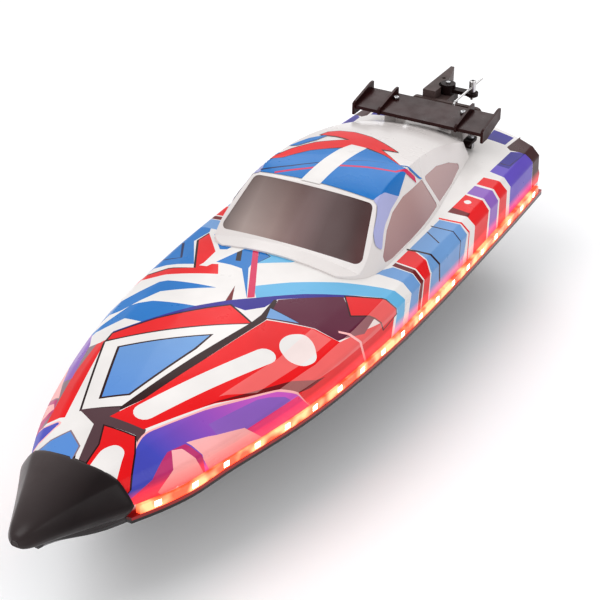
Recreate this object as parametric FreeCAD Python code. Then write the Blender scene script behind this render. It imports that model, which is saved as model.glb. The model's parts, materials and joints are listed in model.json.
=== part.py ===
"""RC speed boat: a deep-V hull with a lift-off cabin, a rear wing and a steered screw drive.

Millimetres. +X is port, +Y is aft (the bow points along -Y) and +Z is up.
The origin lies on the flat keel pad, at mid hull length.
"""
import FreeCAD, Part
import math
import os

Vec = FreeCAD.Vector
UP = Vec(0, 0, 1)
AFT = Vec(0, 1, 0)
PORT = Vec(1, 0, 0)

# ---------------------------------------------------------------- driving dimensions
HULL_LENGTH = 460.0
BOW_Y = -HULL_LENGTH / 2
TRANSOM_Y = HULL_LENGTH / 2
SHELL_BOW_Y = BOW_Y + 15.0
BUMPER_REAR_Y = -180.5
WALL = 1.8
BOW_SOLID = 12.0             # length of the solid tip inside the nose cap
SHELL_SPANS = 26             # sections that the shells are drawn through
SEAM_Z = 25.0                # joint plane of hull and deck
FLANGE_REACH = 3.0           # how far the joint flange stands out from the sides
FLANGE_THICK = 1.7
GAP = 0.35                   # gap between pieces that move past each other
RUN_FIT = 0.06               # radial clearance of a pin that turns in its hole

# Half sections along the boat: y, then (x, z) of each corner line from the seam inwards.
DECK_STATIONS = [
    # y, seam half beam, lower facet edge, upper facet edge, top edge, crown height
    (-215.0, 4.0, (6.6, 33.5), (5.2, 38.5), (3.6, 41.5), 43.0),
    (-180.0, 26.0, (27.8, 41.8), (24.2, 45.8), (17.4, 49.8), 51.8),
    (-155.0, 38.0, (39.8, 44.0), (35.5, 48.2), (26.5, 53.3), 56.2),
    (-125.0, 45.0, (50.3, 45.4), (45.8, 50.0), (35.5, 56.3), 60.0),
    (-70.0, 58.0, (63.0, 48.5), (58.3, 53.2), (45.0, 58.6), 64.0),
    (0.0, 66.0, (69.3, 50.8), (64.3, 55.8), (51.5, 59.8), 66.3),
    (70.0, 68.3, (70.3, 52.0), (65.3, 57.0), (54.5, 59.4), 66.8),
    (150.0, 68.0, (68.6, 52.0), (63.8, 56.8), (54.5, 59.3), 66.8),
    (230.0, 66.5, (65.6, 50.5), (60.8, 55.5), (52.0, 58.8), 66.0),
]
HULL_STATIONS = [
    # y, seam half beam, chine, keel pad corner
    (-215.0, 4.0, (3.6, 24.3), (1.0, 22.0)),
    (-180.0, 26.0, (25.2, 22.3), (2.5, 11.0)),
    (-155.0, 38.0, (36.8, 21.2), (3.2, 6.6)),
    (-125.0, 45.0, (43.5, 20.4), (3.8, 3.8)),
    (-70.0, 58.0, (56.5, 19.0), (4.8, 1.0)),
    (0.0, 66.0, (64.6, 18.2), (5.0, 0.2)),
    (70.0, 68.3, (67.0, 18.0), (5.0, 0.1)),
    (150.0, 68.0, (66.8, 18.0), (5.0, 0.1)),
    (230.0, 66.5, (65.4, 18.0), (5.0, 0.1)),
]
KEEL_PAD_HALF = 5.0
KEEL_PAD_Y = (-40.0, 164.0)  # the pad that the boat stands on
STRUT_SEAT_Y = 209.0         # the same pad carries on here as the strut's seat

# Hatch opening in the deck
HATCH_FRONT_Y = 30.0
HATCH_REAR_Y = 150.0
HATCH_HALF = 29.0

# Cabin
CABIN_FRONT_Y = 6.0
CABIN_REAR_Y = 194.0
CABIN_TAIL_R = 60.0          # radius of the bowed tail, in plan
CABIN_ROUND_R = 220.0        # radius of the crown across the cabin
CABIN_WALL = 1.6
SCREEN_FOOT = (14.5, 69.3)   # windshield, on the centre line: y, z
SCREEN_HEAD = (45.5, 93.4)

# Rear wing
WING_Y = 182.0
WING_CHORD = 25.0
WING_Z = 80.0
WING_HALF = 44.7
WING_FIN_X = 26.7
WING_THICK = 2.2
POST_X = 23.5
POST_Y = 200.0
LATCH_X = 33.5
LATCH_Y = 191.0
LATCH_Z = 69.2

# Light strips
LIGHT_Z = SEAM_Z + FLANGE_THICK
LIGHT_HEIGHT = 5.0
LIGHT_OUT = 2.6
LIGHT_FRONT_Y = -176.0
LIGHT_REAR_Y = 224.0
LIGHT_START = 56.0           # along the strip line from the bow to the first lamp
LIGHT_END = 14.0
LAMP_PITCH = 21.5
LAMP_LENGTH = 3.6
LAMP_DEPTH = 1.2
LAMP_HEIGHT = 3.0

# Steering
RUDDER_X = -8.0
RUDDER_Y = 247.0
TILLER_REACH = 17.5
TILLER_X = RUDDER_X + TILLER_REACH
TILLER_Z = 75.0
SERVO_Y = 170.0
ROD_R = 0.75
ROD_LOW_Z = 57.0
ROD_HIGH_Z = 80.0
ROD_RISE_Y = 217.3
ROD_TAIL_Y = 263.0
ROD_SLOT_X = (5.9, 10.8)
ROD_SLOT_Y = (207.3, 227.3)
PIN_R = 1.5
STUD_R = 1.0
HORN_Z = 54.0
SERVO_X = RUDDER_X
LUG_R = 4.5
LUG_LOW = (44.0, 48.0)
LUG_HIGH = (68.0, 72.0)
BEAM_LOW_Z = 68.0
BEAM_HIGH_Z = 78.0
BEAM_TIP_Y = 277.0
RUDDER_FOOT_Z = -26.0
BRACKET_SCREWS = ((-23.0, 63.0), (19.0, 63.0), (-23.0, 45.0), (19.0, 45.0))

# Screw drive
SHAFT_ANGLE = math.radians(10.0)
PROP_Y = 236.0
PROP_Z = -8.0
PROP_R = 15.0
BLADE_ROWS = [(2.2, 62, 4.6), (7.0, 40, 9.0), (11.5, 29, 9.6), (PROP_R, 23, 4.5)]  # radius, pitch, width
SHAFT_R = 2.0
MOTOR_R = 13.5
MOTOR_LENGTH = 42.0
MOTOR_Y = 62.0
SHAFT_TUBE_R = 3.0
STRUT_Y = 219.0

# Battery, cooling and drain
BATTERY_Y0 = -62.0
BATTERY_Y1 = 42.0
BATTERY_MID = (BATTERY_Y0 + BATTERY_Y1) / 2
BATTERY_HALF = 17.0
CONTROL_Y0 = 126.0
CONTROL_Y1 = 150.0
NIPPLE_R = 2.0
HOSE_BEND = 7.0
PICKUP_X = 32.0
PICKUP_Y = 190.0
OUTLET_X = -40.0
OUTLET_Z = 34.0
OUTLET_REACH = 8.0
DRAIN_X = 40.0
DRAIN_Z = 19.0
DRAIN_R = 3.0
CONTACT_X = 22.0
CONTACT_Y = 112.0
CONTACT_R = 1.2


# ---------------------------------------------------------------- helpers
def box(x0, x1, y0, y1, z0, z1):
    return Part.makeBox(x1 - x0, y1 - y0, z1 - z0, Vec(x0, y0, z0))


def rod(base, direction, radius, length):
    return Part.makeCylinder(radius, length, base, direction)


def polygon(points):
    closed = list(points) + [points[0]]
    return Part.makePolygon(closed)


def plate(points, rise):
    """A flat outline pushed along a vector."""
    return Part.Face(polygon(points)).extrude(rise)


def slot_face(x0, x1, y0, y1, radius, z):
    """A rectangle with rounded corners, lying flat at height z."""
    bend = radius * (1 - math.sqrt(0.5))
    edges = [
        Part.LineSegment(Vec(x0 + radius, y0, z), Vec(x1 - radius, y0, z)).toShape(),
        Part.Arc(Vec(x1 - radius, y0, z), Vec(x1 - bend, y0 + bend, z), Vec(x1, y0 + radius, z)).toShape(),
        Part.LineSegment(Vec(x1, y0 + radius, z), Vec(x1, y1 - radius, z)).toShape(),
        Part.Arc(Vec(x1, y1 - radius, z), Vec(x1 - bend, y1 - bend, z), Vec(x1 - radius, y1, z)).toShape(),
        Part.LineSegment(Vec(x1 - radius, y1, z), Vec(x0 + radius, y1, z)).toShape(),
        Part.Arc(Vec(x0 + radius, y1, z), Vec(x0 + bend, y1 - bend, z), Vec(x0, y1 - radius, z)).toShape(),
        Part.LineSegment(Vec(x0, y1 - radius, z), Vec(x0, y0 + radius, z)).toShape(),
        Part.Arc(Vec(x0, y0 + radius, z), Vec(x0 + bend, y0 + bend, z), Vec(x0 + radius, y0, z)).toShape(),
    ]
    return Part.Face(Part.Wire(edges))


def rounded_block(x0, x1, y0, y1, z0, z1, radius):
    return slot_face(x0, x1, y0, y1, radius, z0).extrude(Vec(0, 0, z1 - z0))


def mirrored(shape):
    return shape.mirror(Vec(0, 0, 0), PORT)


def bent_tube(points, bend, radius):
    """A round bar along straight runs joined by tangent arcs of one radius."""
    edges = []
    start = points[0]
    for here, corner, after in zip(points, points[1:], points[2:]):
        towards = (corner - here).normalize()
        away = (after - corner).normalize()
        turn = towards.getAngle(away)
        setback = bend * math.tan(turn / 2)
        enter = corner - towards * setback
        leave = corner + away * setback
        inward = (away - towards).normalize()
        middle = corner + inward * (bend / math.cos(turn / 2) - bend)
        edges.append(Part.LineSegment(start, enter).toShape())
        edges.append(Part.Arc(enter, middle, leave).toShape())
        start = leave
    edges.append(Part.LineSegment(start, points[-1]).toShape())
    spine = Part.Wire(edges)
    heading = points[1] - points[0]
    ring = Part.Wire([Part.makeCircle(radius, points[0], heading)])
    return spine.makePipeShell([ring], True, True)


def save(name, *solids):
    shape = solids[0] if len(solids) == 1 else Part.makeCompound(list(solids))
    shape.exportStep(os.path.join("parts", name + ".step"))
    print(name, "volume", round(shape.Volume), "valid", shape.isValid(), "solids", len(shape.Solids))


def blend_rows(low, high, share):
    """A station part of the way between two others."""
    if isinstance(low, tuple):
        return tuple(blend_rows(a, b, share) for a, b in zip(low, high))
    return low + (high - low) * share


def line_row(low, high, y):
    return blend_rows(low, high, (y - low[0]) / (high[0] - low[0]))


def curve_row(first, middle, last, y):
    """The section at y on the parabolas through three stations."""
    share = (y - first[0]) / (last[0] - first[0])
    return blend_rows(line_row(first, middle, y), line_row(middle, last, y), share)


def station_at(stations, y):
    """The section at y, on smooth curves through all the stations."""
    here = 0
    while here < len(stations) - 2 and y > stations[here + 1][0]:
        here += 1
    low, high = stations[here], stations[here + 1]
    if here == 0:
        return curve_row(low, high, stations[2], y)
    before = curve_row(stations[here - 1], low, high, y)
    if here == len(stations) - 2:
        return before
    after = curve_row(low, high, stations[here + 2], y)
    return blend_rows(before, after, (y - low[0]) / (high[0] - low[0]))


def shell_rows(stations, start_y, end_y):
    """Evenly spaced sections of a shell from start_y to end_y."""
    step = (end_y - start_y) / SHELL_SPANS
    return [station_at(stations, start_y + step * index) for index in range(SHELL_SPANS + 1)]


def seam_curve(reach):
    """The seam's plan line on the port side, moved outwards by reach, at height 0."""
    curve = Part.BSplineCurve()
    rows = shell_rows(DECK_STATIONS, SHELL_BOW_Y, TRANSOM_Y)
    curve.interpolate([Vec(row[1] + reach, row[0], 0) for row in rows])
    return curve


def plan_face(reach):
    """The seam's whole plan outline, moved outwards by reach, as a flat face at height 0."""
    port_line = seam_curve(reach).toShape()
    half_bow = DECK_STATIONS[0][1] + reach
    half_stern = DECK_STATIONS[-1][1] + reach
    bow = Part.makeLine(Vec(half_bow, SHELL_BOW_Y, 0), Vec(-half_bow, SHELL_BOW_Y, 0))
    stern = Part.makeLine(Vec(half_stern, TRANSOM_Y, 0), Vec(-half_stern, TRANSOM_Y, 0))
    loop = Part.__sortEdges__([port_line, bow, mirrored(port_line), stern])
    return Part.Face(Part.Wire(loop))


def flange_ring():
    """The joint flange from the bumper aft, with its lower face at height 0."""
    return plan_face(FLANGE_REACH).extrude(Vec(0, 0, FLANGE_THICK)).common(
        box(-100, 100, BUMPER_REAR_Y, TRANSOM_Y, -1, FLANGE_THICK + 1))


# ---------------------------------------------------------------- hull and deck
def deck_section(row, inset):
    """One closed deck section: port side up, over the crown and down, then flat along the seam."""
    y, seam, low_edge, high_edge, top_edge, crown = row
    base = SEAM_Z - (2.0 if inset else 0.0)
    corners = [
        Vec(seam - inset, y, base),
        Vec(low_edge[0] - inset, y, low_edge[1] - inset * 0.3),
        Vec(high_edge[0] - inset * 0.8, y, high_edge[1] - inset * 0.8),
        Vec(top_edge[0] - inset * 0.3, y, top_edge[1] - inset),
    ]
    opposite = [Vec(-point.x, point.y, point.z) for point in reversed(corners)]
    crown_point = Vec(0, y, crown - inset)
    edges = [Part.makeLine(a, b) for a, b in zip(corners, corners[1:])]
    edges.append(Part.Arc(corners[-1], crown_point, opposite[0]).toShape())
    edges += [Part.makeLine(a, b) for a, b in zip(opposite, opposite[1:])]
    edges.append(Part.makeLine(opposite[-1], corners[0]))
    return Part.Wire(edges)


def hull_section(row, inset):
    """One closed bottom section: flat along the seam, down to the chines and the keel pad."""
    y, seam, chine, pad = row
    top = SEAM_Z + (2.0 if inset else 0.0)
    corners = [
        Vec(seam - inset, y, top),
        Vec(chine[0] - inset, y, chine[1] + inset * 0.8),
        Vec(pad[0], y, pad[1] + inset),
    ]
    opposite = [Vec(-point.x, point.y, point.z) for point in reversed(corners)]
    return polygon(corners + opposite)


def lofted(stations, section, inset):
    """A shell's outer form, or its inside when inset by the wall."""
    start_y = SHELL_BOW_Y + (BOW_SOLID if inset else 0.0)
    rows = shell_rows(stations, start_y, TRANSOM_Y - inset)
    return Part.makeLoft([section(row, inset) for row in rows], True, False)


def shaft_point(y):
    """A point on the shaft line."""
    return Vec(0, y, PROP_Z + (PROP_Y - y) * math.tan(SHAFT_ANGLE))


def shaft_direction():
    return Vec(0, math.cos(SHAFT_ANGLE), -math.sin(SHAFT_ANGLE))


def make_deck(outer):
    inner = lofted(DECK_STATIONS, deck_section, WALL)
    deck = outer.fuse(flange_ring().translated(Vec(0, 0, SEAM_Z))).cut(inner)
    hatch = hatch_block(0.0, 40.0, 90.0, 8.0)
    rod_slot = rounded_block(*ROD_SLOT_X, *ROD_SLOT_Y, 50.0, 80.0, 2.0)
    outlet_hole = rod(Vec(OUTLET_X, TRANSOM_Y - 5, OUTLET_Z), AFT, NIPPLE_R, 10.0)
    deck = deck.cut(hatch).cut(rod_slot).cut(outlet_hole)
    for x, z in BRACKET_SCREWS:
        deck = deck.cut(rod(Vec(x, TRANSOM_Y - 5, z), AFT, 1.25, 10.0))
    return deck.removeSplitter()


def make_hull(outer):
    inner = lofted(HULL_STATIONS, hull_section, WALL)
    hull = outer.fuse(flange_ring().translated(Vec(0, 0, SEAM_Z - FLANGE_THICK)))
    for start_y, end_y in (KEEL_PAD_Y, (STRUT_SEAT_Y, TRANSOM_Y)):
        hull = hull.fuse(box(-KEEL_PAD_HALF, KEEL_PAD_HALF, start_y, end_y, 0.0, 1.0))
    hull = hull.cut(inner)
    tube_hole = rod(shaft_point(140.0), shaft_direction(), SHAFT_TUBE_R, 80.0)
    hull = hull.cut(tube_hole)
    hull = hull.cut(rod(Vec(DRAIN_X, TRANSOM_Y - 5, DRAIN_Z), AFT, DRAIN_R, 10.0))
    for x in (-CONTACT_X, CONTACT_X):
        hull = hull.cut(rod(Vec(x, CONTACT_Y, -5.0), UP, CONTACT_R, 20.0))
    hull = hull.cut(rod(Vec(PICKUP_X, PICKUP_Y, -5.0), UP, NIPPLE_R, 20.0))
    return hull.removeSplitter()


def make_bumper(deck_outer, hull_outer):
    """Soft nose cap: a rounded block wrapped over the bow."""
    stations = [
        # y, half width, bottom z, top z
        (BOW_Y, 3.0, 32.0, 37.5),
        (BOW_Y + 2.5, 5.6, 30.8, 40.0),
        (BOW_Y + 14.0, 12.0, 29.3, 44.2),
        (BOW_Y + 30.0, 21.5, 26.8, 48.3),
        (BUMPER_REAR_Y, 34.5, 23.6, 52.6),
    ]
    sections = []
    for row_y in (0.0, 1.0, 2.5, 5.0, 8.0, 12.0, 16.0, 21.0, 26.0, 31.0, 37.0, 43.0, BUMPER_REAR_Y - BOW_Y):
        y, half, low, high = station_at(stations, BOW_Y + row_y)
        shoulder = high - 0.20 * (high - low)
        waist = low + 0.42 * (high - low)
        foot = low + 0.06 * (high - low)
        right = [
            Vec(half * 0.45, y, low),
            Vec(half * 0.84, y, foot),
            Vec(half, y, waist),
            Vec(half * 0.75, y, shoulder),
            Vec(half * 0.30, y, high),
        ]
        left = [Vec(-point.x, point.y, point.z) for point in reversed(right)]
        sections.append(polygon(right + left))
    cap = Part.makeLoft(sections, True, True)
    cap = cap.common(box(-60, 60, BOW_Y, BUMPER_REAR_Y, 0, 80))
    cap = cap.cut(deck_outer).cut(hull_outer)
    return max(cap.Solids, key=lambda solid: solid.Volume)


# ---------------------------------------------------------------- light strips
def lamp_places():
    """Point, forward direction and outward direction of each lamp along the port seam."""
    curve = seam_curve(LIGHT_OUT - LAMP_DEPTH)
    line = curve.toShape()
    total = line.Length
    count = int((total - LIGHT_START - LIGHT_END) / LAMP_PITCH) + 1
    places = []
    for index in range(count):
        parameter = line.getParameterByLength(LIGHT_START + index * LAMP_PITCH)
        along = curve.tangent(parameter)[0]
        places.append((curve.value(parameter), along))
    return places


def make_lamps(deck_outer):
    lamps = []
    for point, along in lamp_places():
        lamp = Part.makeBox(LAMP_LENGTH, LAMP_DEPTH, LAMP_HEIGHT, Vec(-LAMP_LENGTH / 2, -LAMP_DEPTH, 0))
        turn = math.degrees(math.atan2(along.y, along.x))
        lamp.rotate(Vec(0, 0, 0), UP, turn)
        lamp.translate(Vec(point.x, point.y, LIGHT_Z + (LIGHT_HEIGHT - LAMP_HEIGHT) / 2))
        lamps.append(lamp.cut(deck_outer))
    return lamps


def make_strip(deck_outer, lamps):
    """A clear flexible strip on the flange, against the side, with pockets for the lamps."""
    ring = plan_face(LIGHT_OUT).cut(plan_face(0.2))
    strip = ring.extrude(Vec(0, 0, LIGHT_HEIGHT))
    strip.translate(Vec(0, 0, LIGHT_Z))
    strip = strip.common(box(0, 90, LIGHT_FRONT_Y, LIGHT_REAR_Y, 0, 60)).cut(deck_outer)
    for lamp in lamps:
        strip = strip.cut(lamp)
    return max(strip.Solids, key=lambda solid: solid.Volume)


# ---------------------------------------------------------------- cabin
def cabin_profile(shrink):
    """Side outline of the cabin on the centre line, from the foot of the windshield aft."""
    foot = Vec(0, SCREEN_FOOT[0] + shrink, SCREEN_FOOT[1] - shrink * 0.6)
    head = Vec(0, SCREEN_HEAD[0] + shrink * 0.6, SCREEN_HEAD[1] - shrink)
    front = Vec(0, CABIN_FRONT_Y + shrink, 67.8 - shrink)
    front_low = Vec(0, CABIN_FRONT_Y + shrink, 50.0)
    roof_rows = [(60.0, 95.9), (80.0, 96.9), (105.0, 95.0), (130.0, 90.6), (160.0, 82.2)]
    tail = Vec(0, CABIN_REAR_Y - shrink, 70.5 - shrink)
    tail_low = Vec(0, CABIN_REAR_Y - shrink, 50.0)
    roof = Part.BSplineCurve()
    roof.interpolate([head] + [Vec(0, y, z - shrink) for y, z in roof_rows] + [tail])
    edges = [
        Part.makeLine(front_low, front),
        Part.makeLine(front, foot),
        Part.makeLine(foot, head),
        roof.toShape(),
        Part.makeLine(tail, tail_low),
        Part.makeLine(tail_low, front_low),
    ]
    return Part.Face(Part.Wire(edges))


def cabin_envelope(shrink):
    """Leaning sides in plan: half widths low down and at roof height."""
    rows = [
        (CABIN_FRONT_Y - 1.0, 34.0, 24.0),
        (20.0, 49.5, 35.5),
        (45.0, 52.0, 37.0),
        (85.0, 51.5, 35.5),
        (125.0, 47.5, 30.5),
        (160.0, 42.5, 24.5),
        (CABIN_REAR_Y + 1.0, 36.5, 18.5),
    ]
    sections = []
    for y, low, high in rows:
        sections.append(polygon([
            Vec(low + 2.0 - shrink, y, 56.0),
            Vec(high - 1.5 - shrink, y, 100.0),
            Vec(-high + 1.5 + shrink, y, 100.0),
            Vec(-low - 2.0 + shrink, y, 56.0),
        ]))
    return Part.makeLoft(sections, True, False)


def cabin_solid(shrink):
    """The cabin's outer form, or its inside when shrunk by the wall."""
    centre = Vec(0, 0, SCREEN_HEAD[1] - CABIN_ROUND_R)
    half_turn = math.degrees(60.0 / CABIN_ROUND_R)
    profile = cabin_profile(shrink)
    profile.rotate(centre, AFT, -half_turn)
    crowned = profile.revolve(centre, AFT, 2 * half_turn)
    centre_y = CABIN_REAR_Y - CABIN_TAIL_R
    tail = rod(Vec(0, centre_y, 40), UP, CABIN_TAIL_R - shrink, 80.0)
    ahead = box(-90, 90, -20, centre_y, 40, 120)
    return crowned.common(cabin_envelope(shrink)).common(tail.fuse(ahead))


def screen_region():
    """A slab through the windshield, seen along its normal, with rounded corners."""
    foot = Vec(0, SCREEN_FOOT[0], SCREEN_FOOT[1])
    head = Vec(0, SCREEN_HEAD[0], SCREEN_HEAD[1])
    slope = math.degrees(math.atan2(head.z - foot.z, head.y - foot.y))
    length = (head - foot).Length
    low, high = 45.2, 37.6
    outline = Part.Face(polygon([
        Vec(-low, 1.6, 0),
        Vec(low, 1.6, 0),
        Vec(high, length - 1.0, 0),
        Vec(-high, length - 1.0, 0),
    ]))
    slab = outline.extrude(Vec(0, 0, 40.0))
    corners = [edge for edge in slab.Edges if abs(edge.tangentAt(edge.FirstParameter).z) > 0.9]
    slab = slab.makeFillet(4.0, corners)
    slab.translate(Vec(0, 0, -20.0))
    slab.rotate(Vec(0, 0, 0), PORT, slope)
    slab.translate(foot)
    return slab


def side_pane_outlines():
    """Front and rear pane of a side window, as (y, z) outlines."""
    front = [
        (35.4, 62.5), (35.2, 66.0), (47.5, 75.6), (59.6, 80.7), (75.6, 83.2),
        (103.0, 82.0), (111.0, 63.2), (68.0, 61.2), (44.0, 61.4),
    ]
    rear = [(106.6, 81.7), (128.0, 79.3), (147.0, 73.6), (164.5, 65.6), (141.0, 63.4), (115.2, 63.3)]
    return front, rear


def pane_block(outline, x0, x1):
    """A pane's outline pushed across the cabin from x0 to x1, with its corners rounded."""
    block = plate([Vec(x0, y, z) for y, z in outline], Vec(x1 - x0, 0, 0))
    edges = [edge for edge in block.Edges if abs(edge.tangentAt(edge.FirstParameter).x) > 0.9]
    return block.makeFillet(1.6, edges)


def make_cabin(deck_outer):
    """The cabin shell, its windshield and the panes of one side."""
    outer = cabin_solid(0.0)
    inner = cabin_solid(CABIN_WALL)
    glass_outer = cabin_solid(0.25)
    glass_inner = cabin_solid(CABIN_WALL - 0.25)
    deck_room = deck_outer.translated(Vec(0, 0, GAP))
    shell = outer.cut(inner).cut(deck_room)
    screen = glass_outer.cut(glass_inner).common(screen_region())
    shell = shell.cut(screen_region())
    panes = []
    for outline in side_pane_outlines():
        block = pane_block(outline, 20.0, 70.0)
        panes += glass_outer.cut(glass_inner).common(block).Solids
        shell = shell.cut(block).cut(mirrored(block))
    notch = box(LATCH_X - 4.5, LATCH_X + 30.0, LATCH_Y - 11.0, LATCH_Y + 10.0, 50.0, 90.0)
    shell = shell.cut(notch)
    return max(shell.Solids, key=lambda solid: solid.Volume), screen, panes


def make_latch():
    """Hook that swings on a pin in the rear deck and drops over the cabin's tail."""
    across = (LATCH_X - 3.0, LATCH_X + 3.0)
    body = rounded_block(*across, LATCH_Y - 6.0, LATCH_Y + 4.0, LATCH_Z, LATCH_Z + 2.0, 1.5)
    nose = box(LATCH_X - 3.0, LATCH_X + 3.0, LATCH_Y - 6.0, LATCH_Y - 4.6, LATCH_Z - 2.6, LATCH_Z + 1.0)
    tip = box(LATCH_X + 1.0, LATCH_X + 3.0, LATCH_Y - 9.5, LATCH_Y - 4.6, LATCH_Z - 0.2, LATCH_Z + 1.2)
    body = body.fuse(nose).fuse(tip)
    return body.cut(rod(Vec(LATCH_X, LATCH_Y, LATCH_Z - 5), UP, 1.1 + RUN_FIT, 15.0)).removeSplitter()


def make_latch_pin():
    shaft = rod(Vec(LATCH_X, LATCH_Y, LATCH_Z - 4.5), UP, 1.1, 7.0)
    head = rod(Vec(LATCH_X, LATCH_Y, LATCH_Z + 2.0 + GAP), UP, 2.1, 1.3)
    foot = rod(Vec(LATCH_X, LATCH_Y, LATCH_Z - 4.5), UP, 2.4, 4.5 - GAP)
    return shaft.fuse(head).fuse(foot).removeSplitter()


# ---------------------------------------------------------------- hatch cover
def hatch_block(grow, low, high, radius):
    """A block over the deck opening, wider than it by grow on every side."""
    half = HATCH_HALF + grow
    return rounded_block(-half, half, HATCH_FRONT_Y - grow, HATCH_REAR_Y + grow, low, high, radius)


def make_hatch_cover():
    """Dished inner lid on the deck opening, with a turned-down rim inside the hole."""
    lid = hatch_block(4.0, 69.4, 71.0, 11.0)
    plug = hatch_block(-0.6, 61.0, 70.0, 7.4)
    dish = hatch_block(-2.0, 62.4, 80.0, 6.0)
    grip = box(-12, 12, 98.0, 100.0, 62.4, 69.0)
    return lid.fuse(plug).cut(dish).fuse(grip).removeSplitter()


def make_hatch_seal(deck_outer):
    """Rubber ring that fills the space between the crowned deck and the flat lid."""
    outside = hatch_block(3.0, 60.0, 69.4, 10.0)
    inside = hatch_block(0.0, 50.0, 80.0, 8.0)
    return outside.cut(inside).cut(deck_outer)


# ---------------------------------------------------------------- rear wing
def make_wing():
    """A flat plank with a stiffening lip, two fins and two taller end plates."""
    rear_y = WING_Y + WING_CHORD
    rear_z = WING_Z + 3.0
    plank = plate([
        Vec(-WING_HALF, WING_Y, WING_Z),
        Vec(-WING_HALF, rear_y, rear_z),
        Vec(-WING_HALF, rear_y, rear_z - WING_THICK),
        Vec(-WING_HALF, WING_Y, WING_Z - WING_THICK),
    ], Vec(2 * WING_HALF, 0, 0))
    wing = plank
    for x, drop, lift in ((WING_HALF, 6.0, 4.2), (WING_FIN_X, 2.4, 3.6)):
        for side in (-1, 1):
            start = side * x - 0.8
            fin = plate([
                Vec(start, WING_Y - 1.2, WING_Z - drop),
                Vec(start, WING_Y - 1.2, WING_Z + lift * 0.35),
                Vec(start, WING_Y + 1.0, WING_Z + lift * 0.6),
                Vec(start, rear_y - 2.0, rear_z + lift),
                Vec(start, rear_y + 1.5, rear_z + lift),
                Vec(start, rear_y + 1.5, rear_z - drop * 0.5),
                Vec(start, WING_Y + 6.0, WING_Z - drop),
            ], Vec(1.6, 0, 0))
            wing = wing.fuse(fin)
    for side in (-1, 1):
        wing = wing.cut(rod(Vec(side * POST_X, POST_Y, WING_Z - 5), UP, 1.25, 20.0))
    return wing.removeSplitter()


def make_post(side, deck_outer, wing):
    """A white post from the deck to the wing's underside, wider at the foot."""
    x = side * POST_X
    foot = polygon([Vec(x - 4.4, POST_Y - 8, 58), Vec(x + 4.4, POST_Y - 8, 58),
                    Vec(x + 4.4, POST_Y + 7, 58), Vec(x - 4.4, POST_Y + 7, 58)])
    head = polygon([Vec(x - 3.8, POST_Y - 8, 84), Vec(x + 3.8, POST_Y - 8, 84),
                    Vec(x + 3.8, POST_Y + 5, 84), Vec(x - 3.8, POST_Y + 5, 84)])
    post = Part.makeLoft([foot, head], True, False).cut(deck_outer)
    above = plate([
        Vec(-60, WING_Y - 20, WING_Z - WING_THICK - 2.4),
        Vec(-60, WING_Y + 45, WING_Z - WING_THICK + 5.4),
        Vec(-60, WING_Y + 45, 120),
        Vec(-60, WING_Y - 20, 120),
    ], Vec(120, 0, 0))
    post = post.cut(above).cut(wing)
    return post.cut(rod(Vec(x, POST_Y, 60), UP, 1.0, 30.0))


def make_wing_screws():
    screws = []
    for side in (-1, 1):
        x = side * POST_X
        seat = WING_Z + (POST_Y - WING_Y) * 3.0 / WING_CHORD
        screws.append(screw(Vec(x, POST_Y, seat + 0.32), Vec(0, 0, -1), 1.0, 10.0, 1.9))
    return screws


def screw(seat, into, radius, length, head_radius):
    """A domed screw with a hexagon socket; seat is under its head."""
    back = into * -1
    head = rod(seat, back, head_radius, head_radius * 0.75)
    rim = [edge for edge in head.Edges if (edge.CenterOfMass - seat).dot(back) > head_radius * 0.7]
    head = head.makeFillet(head_radius * 0.3, [rim[0]])
    side = back.cross(Vec(0.3, 0.5, 0.8)).normalize()
    across = back.cross(side)
    corners = []
    for index in range(6):
        angle = math.radians(60 * index)
        ring = side * math.cos(angle) + across * math.sin(angle)
        corners.append(seat + back * (head_radius * 0.3) + ring * (head_radius * 0.42))
    socket = plate(corners, back * head_radius)
    return head.fuse(rod(seat, into, radius, length)).cut(socket).removeSplitter()


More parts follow.
